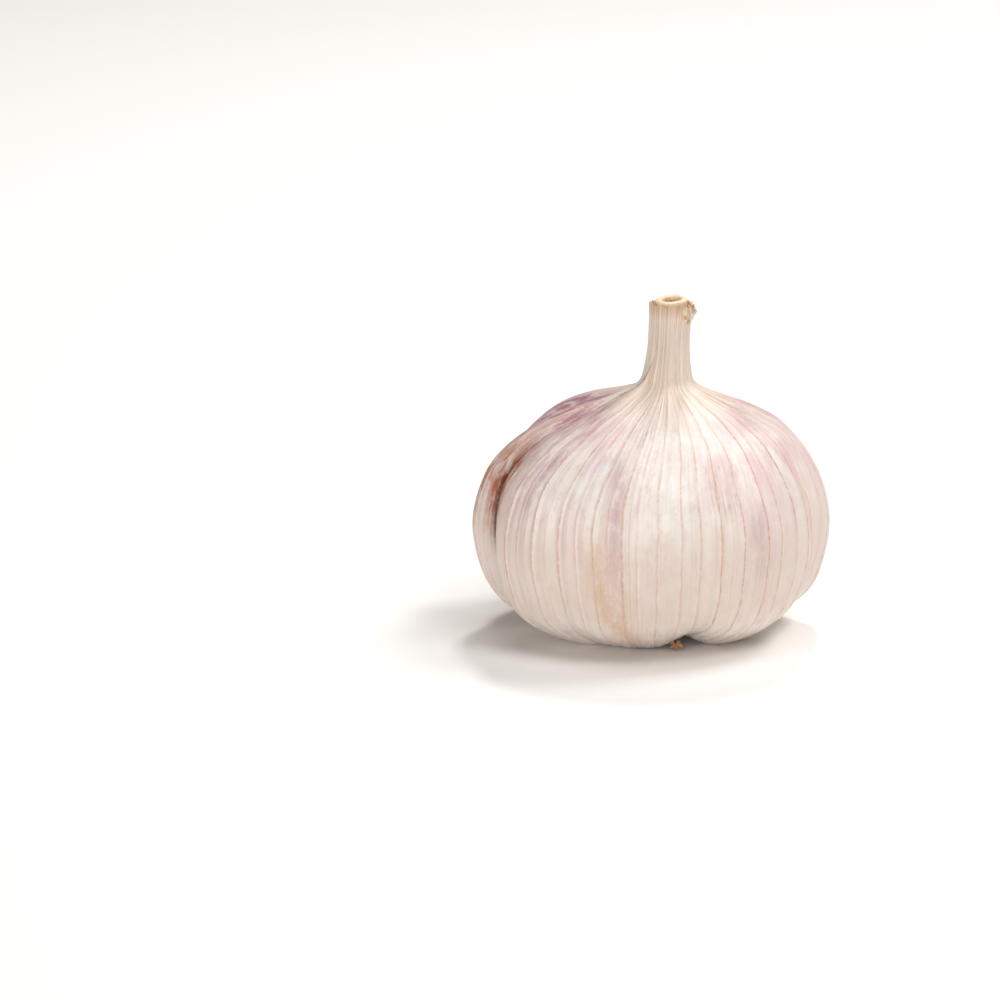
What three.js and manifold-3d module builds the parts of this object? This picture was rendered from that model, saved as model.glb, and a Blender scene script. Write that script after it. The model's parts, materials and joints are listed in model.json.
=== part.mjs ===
// A garlic bulb standing on its cloves, as three pieces that a knife or a thumb would part: the bulb in its
// papery skin with the dry neck, the cut flower stalk that stands in the neck, and the root plate under it.
//
// Units are millimetres and +Z is up. The bulb rests on z = 0 and the box around it is centred on x = y = 0.
// An azimuth is measured round the bulb from its front, which faces -Y, and grows towards +X.

import * as THREE from "three";
import { mergeVertices } from "three/addons/utils/BufferGeometryUtils.js";
import Module from "manifold-3d";

// Driving dimensions.
const BELLY_RADIUS = 28.1;
const BULB_HEIGHT = 53.6;
const NECK_RADIUS = 3.3;
const SHEATH_WALL = 0.5;
const BORE_DEPTH = 14.0;
const STALK_RADIUS = 2.58;
const STALK_PROUD = 1.1;
const STALK_HOLE_RADIUS = 1.55;
const STALK_HOLE_DEPTH = 2.4;
const STALK_CUT_SLANT = { right: 0.05, back: 0.075 };
const PLATE_RADIUS = 8.9;
const PLATE_FACE_HEIGHT = 2.6;
const SEAT_TOP = 5.6;
const CLEARANCE = 0.3;

// The bulb's own outline, from the neck's cut rim down to the root plate, before the cloves shape it.
const outline = new THREE.SplineCurve([
  new THREE.Vector2(NECK_RADIUS * 1.05, BULB_HEIGHT),
  new THREE.Vector2(NECK_RADIUS, BULB_HEIGHT * 0.932),
  new THREE.Vector2(NECK_RADIUS, BULB_HEIGHT * 0.868),
  new THREE.Vector2(NECK_RADIUS * 1.12, BULB_HEIGHT * 0.806),
  new THREE.Vector2(NECK_RADIUS * 1.42, BULB_HEIGHT * 0.753),
  new THREE.Vector2(BELLY_RADIUS * 0.318, BULB_HEIGHT * 0.714),
  new THREE.Vector2(BELLY_RADIUS * 0.524, BULB_HEIGHT * 0.673),
  new THREE.Vector2(BELLY_RADIUS * 0.749, BULB_HEIGHT * 0.604),
  new THREE.Vector2(BELLY_RADIUS * 0.932, BULB_HEIGHT * 0.482),
  new THREE.Vector2(BELLY_RADIUS, BULB_HEIGHT * 0.33),
  new THREE.Vector2(BELLY_RADIUS * 0.958, BULB_HEIGHT * 0.187),
  new THREE.Vector2(BELLY_RADIUS * 0.835, BULB_HEIGHT * 0.077),
  new THREE.Vector2(BELLY_RADIUS * 0.56, -0.1),
  new THREE.Vector2(BELLY_RADIUS * 0.42, 0.7),
  new THREE.Vector2(PLATE_RADIUS + 0.4, 3.0),
]);

// Eight cloves push the skin out, with a furrow between each two. from is the azimuth in degrees of the
// furrow at which a clove begins. furrow and swell are depths and rises at its shoulder, belly and base.
const cloves = [
  { from: -146, furrow: [1.0, 2.0, 1.8], swell: [1.0, 0.2, 0.0] },
  { from: -109, furrow: [2.2, 2.4, 2.0], swell: [0.0, 0.8, 0.0] },
  { from: -76, furrow: [1.2, 2.4, 2.0], swell: [0.0, 0.6, 0.0] },
  { from: -32, furrow: [0.15, 0.5, 0.9], swell: [0.0, 0.0, -0.6] },
  { from: 18.5, furrow: [0.1, 0.4, 2.6], swell: [0.0, 0.1, 0.0] },
  { from: 78, furrow: [0.3, 1.4, 2.2], swell: [0.0, 0.9, 0.0] },
  { from: 121, furrow: [1.0, 2.0, 2.0], swell: [0.0, 0.2, 0.1] },
  { from: 168, furrow: [1.0, 1.8, 2.0], swell: [0.5, 0.0, 0.0] },
];

// Where along the outline, from 0 at the rim to 1 at the root plate, a clove's shoulder, belly and base lie.
const SHOULDER = { from: 0.27, full: 0.46, until: 0.5, gone: 0.66 };
const BELLY = { from: 0.5, full: 0.66, until: 0.72, gone: 0.84 };
const BASE = { from: 0.72, full: 0.84, until: 0.93, gone: 1.0 };
const FURROW_ROUNDING = 0.1;

// The skin's veins: raised ribs that run from the neck to the root plate. Each has its azimuth in degrees
// and its strength. Those at the front are given one by one, and a rule spaces the others round the back.
const frontVeins = [
  { at: -66.7, strength: 0.8 },
  { at: -55.5, strength: 1.2 },
  { at: -50, strength: 0.5 },
  { at: -43.2, strength: 1.1 },
  { at: -33.3, strength: 0.9 },
  { at: -26.8, strength: 0.6 },
  { at: -20.5, strength: 0.8 },
  { at: -11.1, strength: 1.2 },
  { at: -6.5, strength: 0.5 },
  { at: 0, strength: 0.8 },
  { at: 8, strength: 0.7 },
  { at: 14.4, strength: 1.0 },
  { at: 21.8, strength: 1.2 },
  { at: 30, strength: 1.3 },
  { at: 39.3, strength: 1.2 },
  { at: 45.3, strength: 0.9 },
  { at: 53.2, strength: 1.3 },
  { at: 61.8, strength: 0.9 },
  { at: 66.7, strength: 0.7 },
];
const BACK_VEINS = 29;
const VEIN_JITTER = 0.3;
const VEIN_FOOT = 0.25;
const VEIN_HEIGHT = { neck: 0.14, belly: 0.34, base: 0.5 };
const OUTLINE_ROWS = 36;

// The neck stands off the middle of the bulb and leans a little.
const NECK_OFFSET = 2.25;
const NECK_LEAN = 0.045;
const NECK_FOOT_HEIGHT = 40;
const AXIS_BEND_FROM = 25.5;

// The sheath's rim is torn, with a curled tatter on its right.
const RIM_RAGGED = 0.5;
const TATTER = { azimuth: 78, width: 26, flare: 0.75, drop: 0.6, length: 3.2 };

// The trimmed roots: stubs round the rim of the plate, most of them in two tufts.
const ROOT_STUBS = 66;
const TUFTS = [18, -125];
const TUFT_SPREAD = 70;

const FULL_TURN = 2 * Math.PI;
const radians = THREE.MathUtils.degToRad;
const degrees = THREE.MathUtils.radToDeg;
const smoothstep = THREE.MathUtils.smoothstep;

// A fixed draw from 0 to 1 for item k of a series.
function draw(k, series) {
  const x = Math.sin(k * 12.9898 + series * 78.233) * 43758.5453;
  return x - Math.floor(x);
}

// A point at an azimuth and radius round the bulb's axis, which bends towards the neck.
function ringPoint(azimuth, radius, z) {
  const bend = smoothstep(z, AXIS_BEND_FROM, NECK_FOOT_HEIGHT);
  const offset = NECK_OFFSET * bend + NECK_LEAN * Math.max(z - NECK_FOOT_HEIGHT, 0);
  return new THREE.Vector3(offset + radius * Math.sin(azimuth), -radius * Math.cos(azimuth), z);
}

// The shares of shoulder, belly and base at a place along the outline.
function stretchShares(t) {
  const share = (band) => smoothstep(t, band.from, band.full) * (1 - smoothstep(t, band.until, band.gone));
  return [share(SHOULDER), share(BELLY), share(BASE)];
}

const blend = (values, shares) => values.reduce((sum, value, i) => sum + value * shares[i], 0);

// How far the cloves push the skin out at an azimuth, negative in a furrow.
function cloveRelief(azimuth, t) {
  const first = radians(cloves[0].from);
  const turned = THREE.MathUtils.euclideanModulo(azimuth - first, FULL_TURN) + first;
  const ends = cloves.map((clove) => radians(clove.from)).concat(first + FULL_TURN);
  const k = Math.min(ends.findLastIndex((end) => end <= turned), cloves.length - 1);
  const across = ((turned - ends[k]) / (ends[k + 1] - ends[k])) * 2 - 1;
  const nearer = across < 0 ? cloves[k] : cloves[(k + 1) % cloves.length];
  const shares = stretchShares(t);
  const inset = 1 - Math.abs(across);
  const rounded = Math.hypot(inset, FURROW_ROUNDING) - FURROW_ROUNDING * (1 - inset);
  const furrow = Math.pow(Math.max(1 - rounded, 0), 2);
  const crown = Math.pow(Math.cos((Math.PI / 2) * across), 2);
  return blend(cloves[k].swell, shares) * crown - blend(nearer.furrow, shares) * furrow;
}

// Every vein round the bulb, in order of azimuth from the first one at the front.
function allVeins() {
  const from = frontVeins.at(-1).at;
  const spacing = (frontVeins[0].at + 360 - from) / (BACK_VEINS + 1);
  const backVeins = Array.from({ length: BACK_VEINS }, (_, k) => {
    const jitter = VEIN_JITTER * (2 * draw(k, 1) - 1);
    return { at: from + spacing * (k + 1 + jitter), strength: 0.5 + draw(k, 2) };
  });
  return [...frontVeins, ...backVeins];
}

// The height of a vein's rib: fine on the neck, strong where the veins gather at the root plate.
function veinHeight(vein, t) {
  const onBelly = smoothstep(t, 0.35, 0.62) * (VEIN_HEIGHT.belly - VEIN_HEIGHT.neck);
  const onBase = smoothstep(t, 0.88, 1) * (VEIN_HEIGHT.base - VEIN_HEIGHT.belly);
  return (VEIN_HEIGHT.neck + onBelly + onBase) * vein.strength;
}

// The torn rim: the strip of skin between two veins ends at its own height, and the tatter curls outwards.
function tornRim(azimuth, radius, z, k) {
  const away = THREE.MathUtils.euclideanModulo(degrees(azimuth) - TATTER.azimuth + 180, 360) - 180;
  const fromTatter = away / TATTER.width;
  const tatter = Math.exp(-2 * fromTatter * fromTatter);
  const below = BULB_HEIGHT - z;
  const flare = TATTER.flare * tatter * (1 - smoothstep(below, TATTER.length / 2, TATTER.length));
  const cut = RIM_RAGGED * (draw(k, 3) - 0.3) + TATTER.drop * tatter * draw(k, 4);
  return [radius + flare, z - cut * (1 - smoothstep(below, 0, 1))];
}

// A point on the skin, standing out by rib on vein k.
function skinPoint(azimuth, t, rib, k) {
  const step = 1e-3;
  const onOutline = outline.getPoint(t);
  const before = outline.getPoint(Math.max(t - step, 0));
  const along = outline.getPoint(Math.min(t + step, 1)).sub(before).normalize();
  const out = cloveRelief(azimuth, t) + rib;
  const [radius, z] = tornRim(azimuth, onOutline.x - along.y * out, onOutline.y + along.x * out, k);
  return ringPoint(azimuth, radius, Math.max(z, 0));
}

// A closed mesh from rings of points that all have the same count, capped by a point at each end.
function closedRings(rings, firstCap, lastCap) {
  const count = rings[0].length;
  const points = [firstCap, ...rings.flat(), lastCap];
  const last = points.length - 1;
  const faces = [];
  for (let i = 0; i < count; i++) {
    const next = (i + 1) % count;
    faces.push(0, 1 + i, 1 + next);
    faces.push(last, last - count + next, last - count + i);
    for (let row = 0; row < rings.length - 1; row++) {
      const a = 1 + row * count;
      const b = a + count;
      faces.push(a + i, b + i, b + next, a + i, b + next, a + next);
    }
  }
  const geometry = new THREE.BufferGeometry().setFromPoints(points);
  geometry.setIndex(faces);
  geometry.computeVertexNormals();
  return geometry;
}

// The bulb: skin over the cloves, with the neck's bore at the top and the root plate's seat underneath.
function bulbGeometry() {
  const veins = allVeins();
  const columns = veins.flatMap((vein, k) => {
    const before = k > 0 ? veins[k - 1].at : veins.at(-1).at - 360;
    const after = k < veins.length - 1 ? veins[k + 1].at : veins[0].at + 360;
    return [
      { k, vein, azimuth: radians(vein.at - VEIN_FOOT * (vein.at - before)), crest: 0 },
      { k, vein, azimuth: radians(vein.at), crest: 1 },
      { k, vein, azimuth: radians(vein.at + VEIN_FOOT * (after - vein.at)), crest: 0 },
    ];
  });
  const plainRing = (radius, z) => columns.map((c) => ringPoint(c.azimuth, radius, z));
  const boreRadius = NECK_RADIUS * 1.05 - SHEATH_WALL;
  const boreFloor = BULB_HEIGHT - BORE_DEPTH;
  const rings = [plainRing(boreRadius, boreFloor), plainRing(boreRadius, BULB_HEIGHT - 1.2)];
  for (let row = 0; row <= OUTLINE_ROWS; row++) {
    const t = row / OUTLINE_ROWS;
    rings.push(columns.map((c) => skinPoint(c.azimuth, t, c.crest * veinHeight(c.vein, t), c.k)));
  }
  rings.push(plainRing(PLATE_RADIUS + CLEARANCE, SEAT_TOP));
  return closedRings(rings, ringPoint(0, 0, boreFloor), ringPoint(0, 0, SEAT_TOP));
}

// A turned solid about +Z from [radius, height] pairs that start and end on the axis.
function turned(profile, segments) {
  const geometry = new THREE.LatheGeometry(profile.map(([r, z]) => new THREE.Vector2(r, z)), segments);
  return geometry.rotateX(Math.PI / 2);
}

// Moves every point of a turned solid by a rule of its azimuth, radius and height.
function reshape(geometry, rule) {
  const at = geometry.getAttribute("position");
  for (let i = 0; i < at.count; i++) {
    const azimuth = Math.atan2(at.getX(i), -at.getY(i));
    const radius = Math.hypot(at.getX(i), at.getY(i));
    const moved = rule(azimuth, radius, at.getZ(i));
    at.setXYZ(i, moved.x, moved.y, moved.z);
  }
  geometry.computeVertexNormals();
  return geometry;
}

// The cut flower stalk: a thick pale tube with a shallow, fibrous hole, standing just proud of the sheath.
function stalkGeometry() {
  const foot = BULB_HEIGHT - BORE_DEPTH + CLEARANCE;
  const top = BULB_HEIGHT + STALK_PROUD;
  const holeFloor = top - STALK_HOLE_DEPTH;
  const edge = 0.22;
  const tube = turned(
    [
      [0, foot],
      [STALK_RADIUS - 0.3, foot],
      [STALK_RADIUS - 0.05, foot + 0.4],
      [STALK_RADIUS - 0.08, top - 5],
      [STALK_RADIUS, top - 1.2],
      [STALK_RADIUS, top - edge],
      [STALK_RADIUS - edge, top],
      [STALK_HOLE_RADIUS + edge, top],
      [STALK_HOLE_RADIUS, top - edge],
      [STALK_HOLE_RADIUS * 0.9, holeFloor + 0.5],
      [STALK_HOLE_RADIUS * 0.5, holeFloor],
      [0, holeFloor + 0.2],
    ],
    36,
  );
  return reshape(tube, (azimuth, radius, z) => {
    const oval = 1 + 0.02 * Math.cos(2 * azimuth + 0.6) + 0.012 * Math.cos(5 * azimuth);
    const across = STALK_CUT_SLANT.right * Math.sin(azimuth) - STALK_CUT_SLANT.back * Math.cos(azimuth);
    return ringPoint(azimuth, radius * oval, z + across * radius * smoothstep(z, top - 1, top));
  });
}

// A closed mesh without its normals, as a solid that can be joined.
function solidOf(wasm, geometry) {
  const bare = geometry.clone();
  bare.deleteAttribute("normal");
  bare.deleteAttribute("uv");
  const merged = mergeVertices(bare, 1e-4);
  const vertProperties = merged.getAttribute("position").array;
  const triVerts = new Uint32Array(merged.index.array);
  return new wasm.Manifold(new wasm.Mesh({ numProp: 3, vertProperties, triVerts }));
}

function geometryOf(solid) {
  const mesh = solid.getMesh();
  const geometry = new THREE.BufferGeometry();
  geometry.setAttribute("position", new THREE.BufferAttribute(new Float32Array(mesh.vertProperties), 3));
  geometry.setIndex(new THREE.BufferAttribute(new Uint32Array(mesh.triVerts), 1));
  geometry.computeVertexNormals();
  return geometry;
}

// The cork disc of the root plate, its lower face uneven where the roots were shaved off.
function plateDisc() {
  const top = SEAT_TOP - CLEARANCE;
  const face = PLATE_FACE_HEIGHT;
  const disc = turned(
    [
      [0, face],
      [2.2, face],
      [4.4, face],
      [6.6, face],
      [PLATE_RADIUS - 0.9, face + 0.15],
      [PLATE_RADIUS - 0.25, face + 0.7],
      [PLATE_RADIUS - 0.1, top - 0.4],
      [PLATE_RADIUS - 0.6, top],
      [0, top],
    ],
    40,
  );
  return reshape(disc, (azimuth, radius, z) => {
    const uneven = 0.13 * Math.sin(7 * azimuth + radius) * Math.sin(1.7 * radius);
    const lower = z < face + 0.5 ? uneven : 0;
    return new THREE.Vector3(radius * Math.sin(azimuth), -radius * Math.cos(azimuth), z + lower);
  });
}

// A root stub: a short taper, leaning its own way, with its thick end sunk in the disc.
function rootStub(k) {
  const inTuft = k % 3 !== 0;
  const tuft = TUFTS[k % 2];
  const azimuth = radians(inTuft ? tuft + TUFT_SPREAD * (draw(k, 5) - 0.5) : 360 * draw(k, 5));
  const length = 1.4 + (inTuft ? 1.4 : 0.8) * draw(k, 6);
  const thick = 0.34 + 0.2 * draw(k, 7);
  const radius = PLATE_RADIUS - 1.0 - (inTuft ? 1.9 : 0.6) * draw(k, 8);
  const stub = new THREE.CylinderGeometry(thick, thick * 0.55, length, 4, 1);
  stub.rotateX(Math.PI / 2);
  stub.rotateZ(draw(k, 9) * FULL_TURN);
  stub.rotateY(1.1 * (draw(k, 10) - 0.5));
  stub.rotateX(0.9 * (draw(k, 11) - 0.5));
  const sunk = 0.8;
  const middle = PLATE_FACE_HEIGHT + sunk - length / 2;
  return stub.translate(radius * Math.sin(azimuth), -radius * Math.cos(azimuth), middle);
}

function rootPlateGeometry(wasm) {
  let solid = solidOf(wasm, plateDisc());
  for (let k = 0; k < ROOT_STUBS; k++) {
    solid = solid.add(solidOf(wasm, rootStub(k)));
  }
  return geometryOf(solid);
}

const wasm = await Module();
wasm.setup();

const skin = new THREE.MeshStandardMaterial({ color: 0xe9ddd6, roughness: 0.5, metalness: 0 });
const straw = new THREE.MeshStandardMaterial({ color: 0xe8d3a6, roughness: 0.7, metalness: 0 });
const cork = new THREE.MeshStandardMaterial({ color: 0xb98d5e, roughness: 0.9, metalness: 0 });

function piece(name, geometry, material) {
  const mesh = new THREE.Mesh(geometry, material);
  mesh.name = name;
  return mesh;
}

const garlic = new THREE.Group();
garlic.add(
  piece("bulb", bulbGeometry(), skin),
  piece("flower_stalk", stalkGeometry(), straw),
  piece("root_plate", rootPlateGeometry(wasm), cork),
);

// The pieces are placed so that the box around the bulb is centred on x = y = 0.
const middle = new THREE.Box3().setFromObject(garlic).getCenter(new THREE.Vector3());
garlic.position.set(-middle.x, -middle.y, 0);

export default garlic;
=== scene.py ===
"""A garlic bulb standing on its cloves, dressed for a studio picture.

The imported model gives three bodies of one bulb: the bulb in its papery skin, the cut flower stalk in its
neck and the root plate under it. Each is modelled here again in finer detail, inside the space that the
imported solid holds, and gets its finish. Lengths are in millimetres until a mesh is written in metres.

An azimuth is measured round the bulb from its front, which faces -Y, and grows towards +X. A place is a
share of the skin's outline, from 0 at the neck's cut rim to 1 at the root plate.
"""

import json
import logging
import math
from collections.abc import Sequence
from dataclasses import dataclass, field
from enum import Enum

import bpy
import numpy as np
from mathutils import Matrix, Vector

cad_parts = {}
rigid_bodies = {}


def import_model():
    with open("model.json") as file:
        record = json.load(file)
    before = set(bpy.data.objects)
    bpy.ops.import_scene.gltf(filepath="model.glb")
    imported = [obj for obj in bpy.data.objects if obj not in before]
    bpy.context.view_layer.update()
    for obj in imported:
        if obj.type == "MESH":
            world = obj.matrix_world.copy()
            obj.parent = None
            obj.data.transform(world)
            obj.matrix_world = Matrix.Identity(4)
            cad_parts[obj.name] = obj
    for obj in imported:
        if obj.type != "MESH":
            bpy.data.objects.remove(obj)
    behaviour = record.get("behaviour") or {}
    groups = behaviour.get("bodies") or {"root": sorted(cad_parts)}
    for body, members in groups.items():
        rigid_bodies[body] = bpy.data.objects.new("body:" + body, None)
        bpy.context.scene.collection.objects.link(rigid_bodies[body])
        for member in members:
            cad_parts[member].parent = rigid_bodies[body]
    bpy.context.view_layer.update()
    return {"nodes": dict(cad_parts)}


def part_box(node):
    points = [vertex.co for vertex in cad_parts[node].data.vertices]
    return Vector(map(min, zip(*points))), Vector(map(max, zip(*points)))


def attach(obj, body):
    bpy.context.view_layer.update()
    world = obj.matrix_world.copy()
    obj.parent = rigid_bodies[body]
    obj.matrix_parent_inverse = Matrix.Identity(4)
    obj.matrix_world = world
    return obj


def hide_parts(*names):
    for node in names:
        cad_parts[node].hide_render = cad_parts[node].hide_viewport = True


LOG = logging.getLogger("garlic")
MM = 0.001
FULL_TURN = 2 * math.pi
ROOT_BODY = "root"

Array = np.ndarray
Colour = tuple[float, float, float, float]
Socket = bpy.types.NodeSocket


def paint(red: int, green: int, blue: int) -> Colour:
    """Turns a colour as a picture shows it into the linear one that a shader takes.

    Args:
        red: Red from 0 to 255.
        green: Green from 0 to 255.
        blue: Blue from 0 to 255.

    Returns:
        The linear colour with an alpha of 1.
    """
    shares = [channel / 255 for channel in (red, green, blue)]
    linear = [s / 12.92 if s <= 0.04045 else ((s + 0.055) / 1.055) ** 2.4 for s in shares]
    return (*linear, 1.0)


def draw(item: Array | float, series: int) -> Array:
    """A fixed draw from 0 to 1 for an item of a series, the same in every run."""
    raised = np.sin(np.asarray(item, dtype=float) * 12.9898 + series * 78.233) * 43758.5453
    return raised - np.floor(raised)


def smoothstep(value: Array | float, low: float, high: float) -> Array:
    """Rises smoothly from 0 at low to 1 at high."""
    share = np.clip((np.asarray(value, dtype=float) - low) / (high - low), 0.0, 1.0)
    return share * share * (3 - 2 * share)


def turned_away(azimuth: Array, middle: float) -> Array:
    """The signed angle in degrees from a middle azimuth, the short way round."""
    return (azimuth - middle + 180) % 360 - 180


def rough_field(points: Array, cell: float, series: int) -> Array:
    """Smooth noise from -1 to 1 at points in space.

    Args:
        points: One row of x, y and z for each point.
        cell: The size of the noise's cells, in the points' own units.
        series: Which of the fixed noises to take.

    Returns:
        One value for each point.
    """
    scaled = points / cell
    low = np.floor(scaled)
    share = scaled - low
    share = share * share * (3 - 2 * share)
    total = np.zeros(len(points))
    for corner in range(8):
        step = np.array([corner & 1, corner >> 1 & 1, corner >> 2 & 1])
        key = (low + step) @ np.array([1.0, 57.0, 113.0])
        weight = np.prod(np.where(step, share, 1 - share), axis=1)
        total += weight * draw(key, series)
    return 2 * total - 1


@dataclass(frozen=True)
class Stretch:
    """A stretch of the outline over which a relief comes in, holds and goes out again."""

    begins: float
    full: float
    until: float
    gone: float

    def share(self, place: Array) -> Array:
        """How much of the relief there is at a place, from 0 to 1."""
        return smoothstep(place, self.begins, self.full) * (1 - smoothstep(place, self.until, self.gone))


@dataclass(frozen=True)
class Clove:
    """A clove's bulge, and the furrow at which it begins.

    Attributes:
        start: Azimuth of the furrow, in degrees.
        furrow: Depth of the furrow at shoulder, belly and base.
        swell: Rise of the clove's crown at shoulder, belly and base.
    """

    start: float
    furrow: tuple[float, float, float]
    swell: tuple[float, float, float]


@dataclass(frozen=True)
class Vein:
    """A raised vein of the skin, at an azimuth in degrees and with a strength of about 1."""

    azimuth: float
    strength: float


CLOVES = (
    Clove(-146, (1.0, 2.0, 1.8), (1.0, 0.2, 0.0)),
    Clove(-109, (2.2, 2.4, 2.0), (0.0, 0.8, 0.0)),
    Clove(-76, (1.2, 2.4, 2.0), (0.0, 0.6, 0.0)),
    Clove(-32, (0.15, 0.5, 0.9), (0.0, 0.0, -0.6)),
    Clove(18.5, (0.1, 0.4, 2.6), (0.0, 0.1, 0.0)),
    Clove(78, (0.3, 1.4, 2.2), (0.0, 0.9, 0.0)),
    Clove(121, (1.0, 2.0, 2.0), (0.0, 0.2, 0.1)),
    Clove(168, (1.0, 1.8, 2.0), (0.5, 0.0, 0.0)),
)

FRONT_VEINS = (
    Vein(-66.7, 0.8),
    Vein(-55.5, 1.2),
    Vein(-50, 0.5),
    Vein(-43.2, 1.1),
    Vein(-33.3, 0.9),
    Vein(-26.8, 0.6),
    Vein(-20.5, 0.8),
    Vein(-11.1, 1.2),
    Vein(-6.5, 0.5),
    Vein(0, 0.8),
    Vein(8, 0.7),
    Vein(14.4, 1.0),
    Vein(21.8, 1.2),
    Vein(30, 1.3),
    Vein(39.3, 1.2),
    Vein(45.3, 0.9),
    Vein(53.2, 1.3),
    Vein(61.8, 0.9),
    Vein(66.7, 0.7),
)


@dataclass(frozen=True)
class BulbForm:
    """The bulb's shape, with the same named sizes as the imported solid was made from."""

    belly_radius: float = 28.1
    height: float = 53.6
    neck_radius: float = 3.3
    plate_radius: float = 8.9
    bore_depth: float = 14.0
    tip_proud: float = 1.15
    bore_radius: float = 2.965
    seat_radius: float = 9.2
    seat_top: float = 5.6
    neck_offset: float = 2.25
    neck_lean: float = 0.045
    neck_foot_height: float = 40.0
    axis_bend_from: float = 25.5
    furrow_rounding: float = 0.1
    back_veins: int = 29
    vein_jitter: float = 0.3
    shoulder: Stretch = Stretch(0.27, 0.46, 0.5, 0.66)
    belly: Stretch = Stretch(0.5, 0.66, 0.72, 0.84)
    base: Stretch = Stretch(0.72, 0.84, 0.93, 1.0)

    def outline_points(self) -> Array:
        """The outline's own points, as rows of radius and height from the rim to the root plate."""
        neck, belly, top = self.neck_radius, self.belly_radius, self.height
        return np.array(
            [
                (neck * 1.05, top),
                (neck, top * 0.932),
                (neck, top * 0.868),
                (neck * 1.12, top * 0.806),
                (neck * 1.42, top * 0.753),
                (belly * 0.318, top * 0.714),
                (belly * 0.524, top * 0.673),
                (belly * 0.749, top * 0.604),
                (belly * 0.932, top * 0.482),
                (belly, top * 0.33),
                (belly * 0.958, top * 0.187),
                (belly * 0.835, top * 0.077),
                (belly * 0.56, -0.1),
                (belly * 0.42, 0.7),
                (self.plate_radius + 0.4, 3.0),
            ]
        )

    def outline(self, place: Array) -> Array:
        """Radius and height at places along the outline, on a smooth curve through its points.

        Args:
            place: Places from 0 to 1.

        Returns:
            Rows of radius and height.
        """
        points = self.outline_points()
        last = len(points) - 1
        scaled = np.clip(place, 0, 1) * last
        i = np.minimum(np.floor(scaled).astype(int), last - 1)
        w = (scaled - i)[:, None]
        p0, p1 = points[np.maximum(i - 1, 0)], points[i]
        p2, p3 = points[i + 1], points[np.minimum(i + 2, last)]
        v0, v1 = (p2 - p0) / 2, (p3 - p1) / 2
        return (2 * p1 - 2 * p2 + v0 + v1) * w**3 + (3 * p2 - 3 * p1 - 2 * v0 - v1) * w**2 + v0 * w + p1

    def outward(self, place: Array) -> Array:
        """The outline's unit normal, as rows of its parts along radius and height."""
        step = 1e-3
        along = self.outline(np.minimum(place + step, 1)) - self.outline(np.maximum(place - step, 0))
        along /= np.linalg.norm(along, axis=1, keepdims=True)
        return np.stack([-along[:, 1], along[:, 0]], axis=1)

    def lean(self, height: Array) -> Array:
        """How far the bulb's axis stands off towards +X at a height."""
        bend = smoothstep(height, self.axis_bend_from, self.neck_foot_height)
        return self.neck_offset * bend + self.neck_lean * np.maximum(height - self.neck_foot_height, 0)

    def clove_relief(self, azimuth: Array, place: Array) -> Array:
        """How far the cloves push the skin out, negative in a furrow.

        Args:
            azimuth: Azimuths in degrees.
            place: Places along the outline.

        Returns:
            Millimetres along the outline's normal.
        """
        first = CLOVES[0].start
        wrapped = (azimuth - first) % 360 + first
        ends = np.array([clove.start for clove in CLOVES] + [first + 360])
        k = np.clip(np.searchsorted(ends, wrapped, side="right") - 1, 0, len(CLOVES) - 1)
        across = (wrapped - ends[k]) / (ends[k + 1] - ends[k]) * 2 - 1
        nearer = np.where(across < 0, k, (k + 1) % len(CLOVES))
        shares = np.stack([band.share(place) for band in (self.shoulder, self.belly, self.base)], axis=1)
        furrows = np.array([clove.furrow for clove in CLOVES])
        swells = np.array([clove.swell for clove in CLOVES])
        inset = 1 - np.abs(across)
        rounded = np.hypot(inset, self.furrow_rounding) - self.furrow_rounding * (1 - inset)
        furrow = np.maximum(1 - rounded, 0) ** 2
        crown = np.cos(math.pi / 2 * across) ** 2
        return np.sum(swells[k] * shares, axis=1) * crown - np.sum(furrows[nearer] * shares, axis=1) * furrow

    def veins(self) -> list[Vein]:
        """Every vein round the bulb, in order of azimuth from the back, round the front, to the back."""
        start = FRONT_VEINS[-1].azimuth
        spacing = (FRONT_VEINS[0].azimuth + 360 - start) / (self.back_veins + 1)
        found = list(FRONT_VEINS)
        for k in range(self.back_veins):
            jitter = self.vein_jitter * (2 * float(draw(k, 1)) - 1)
            azimuth = start + spacing * (k + 1 + jitter)
            found.append(Vein(float(turned_away(azimuth, 0)), 0.5 + float(draw(k, 2))))
        return sorted(found, key=lambda vein: vein.azimuth)


class Stain(Enum):
    """A colour laid on the dry skin in patches: mostly its own stains, while the dark brown in the furrows
    is also painted shade, and the orange and straw beside the left furrow also painted warm light.
    """

    MAUVE = "mauve"
    STRAW_AND_WARM_LIGHT = "straw"
    RUST_AND_WARM_LIGHT = "rust_and_warm_light"
    UMBER_AND_FURROW_SHADE = "umber_and_furrow_shade"


@dataclass(frozen=True)
class Patch:
    """A soft patch of a stain.

    Attributes:
        stain: Which colour it has.
        azimuth: Its middle, in degrees.
        place: Its middle along the outline.
        width: Half its width, in degrees.
        length: Half its length, as a share of the outline.
        strength: How strong it is in its middle.
    """

    stain: Stain
    azimuth: float
    place: float
    width: float
    length: float
    strength: float

    def share(self, azimuth: Array, place: Array) -> Array:
        """How strong the patch is at azimuths and places."""
        across = turned_away(azimuth, self.azimuth) / self.width
        along = (place - self.place) / self.length
        return self.strength * np.exp(-(across**2 + along**2))


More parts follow.
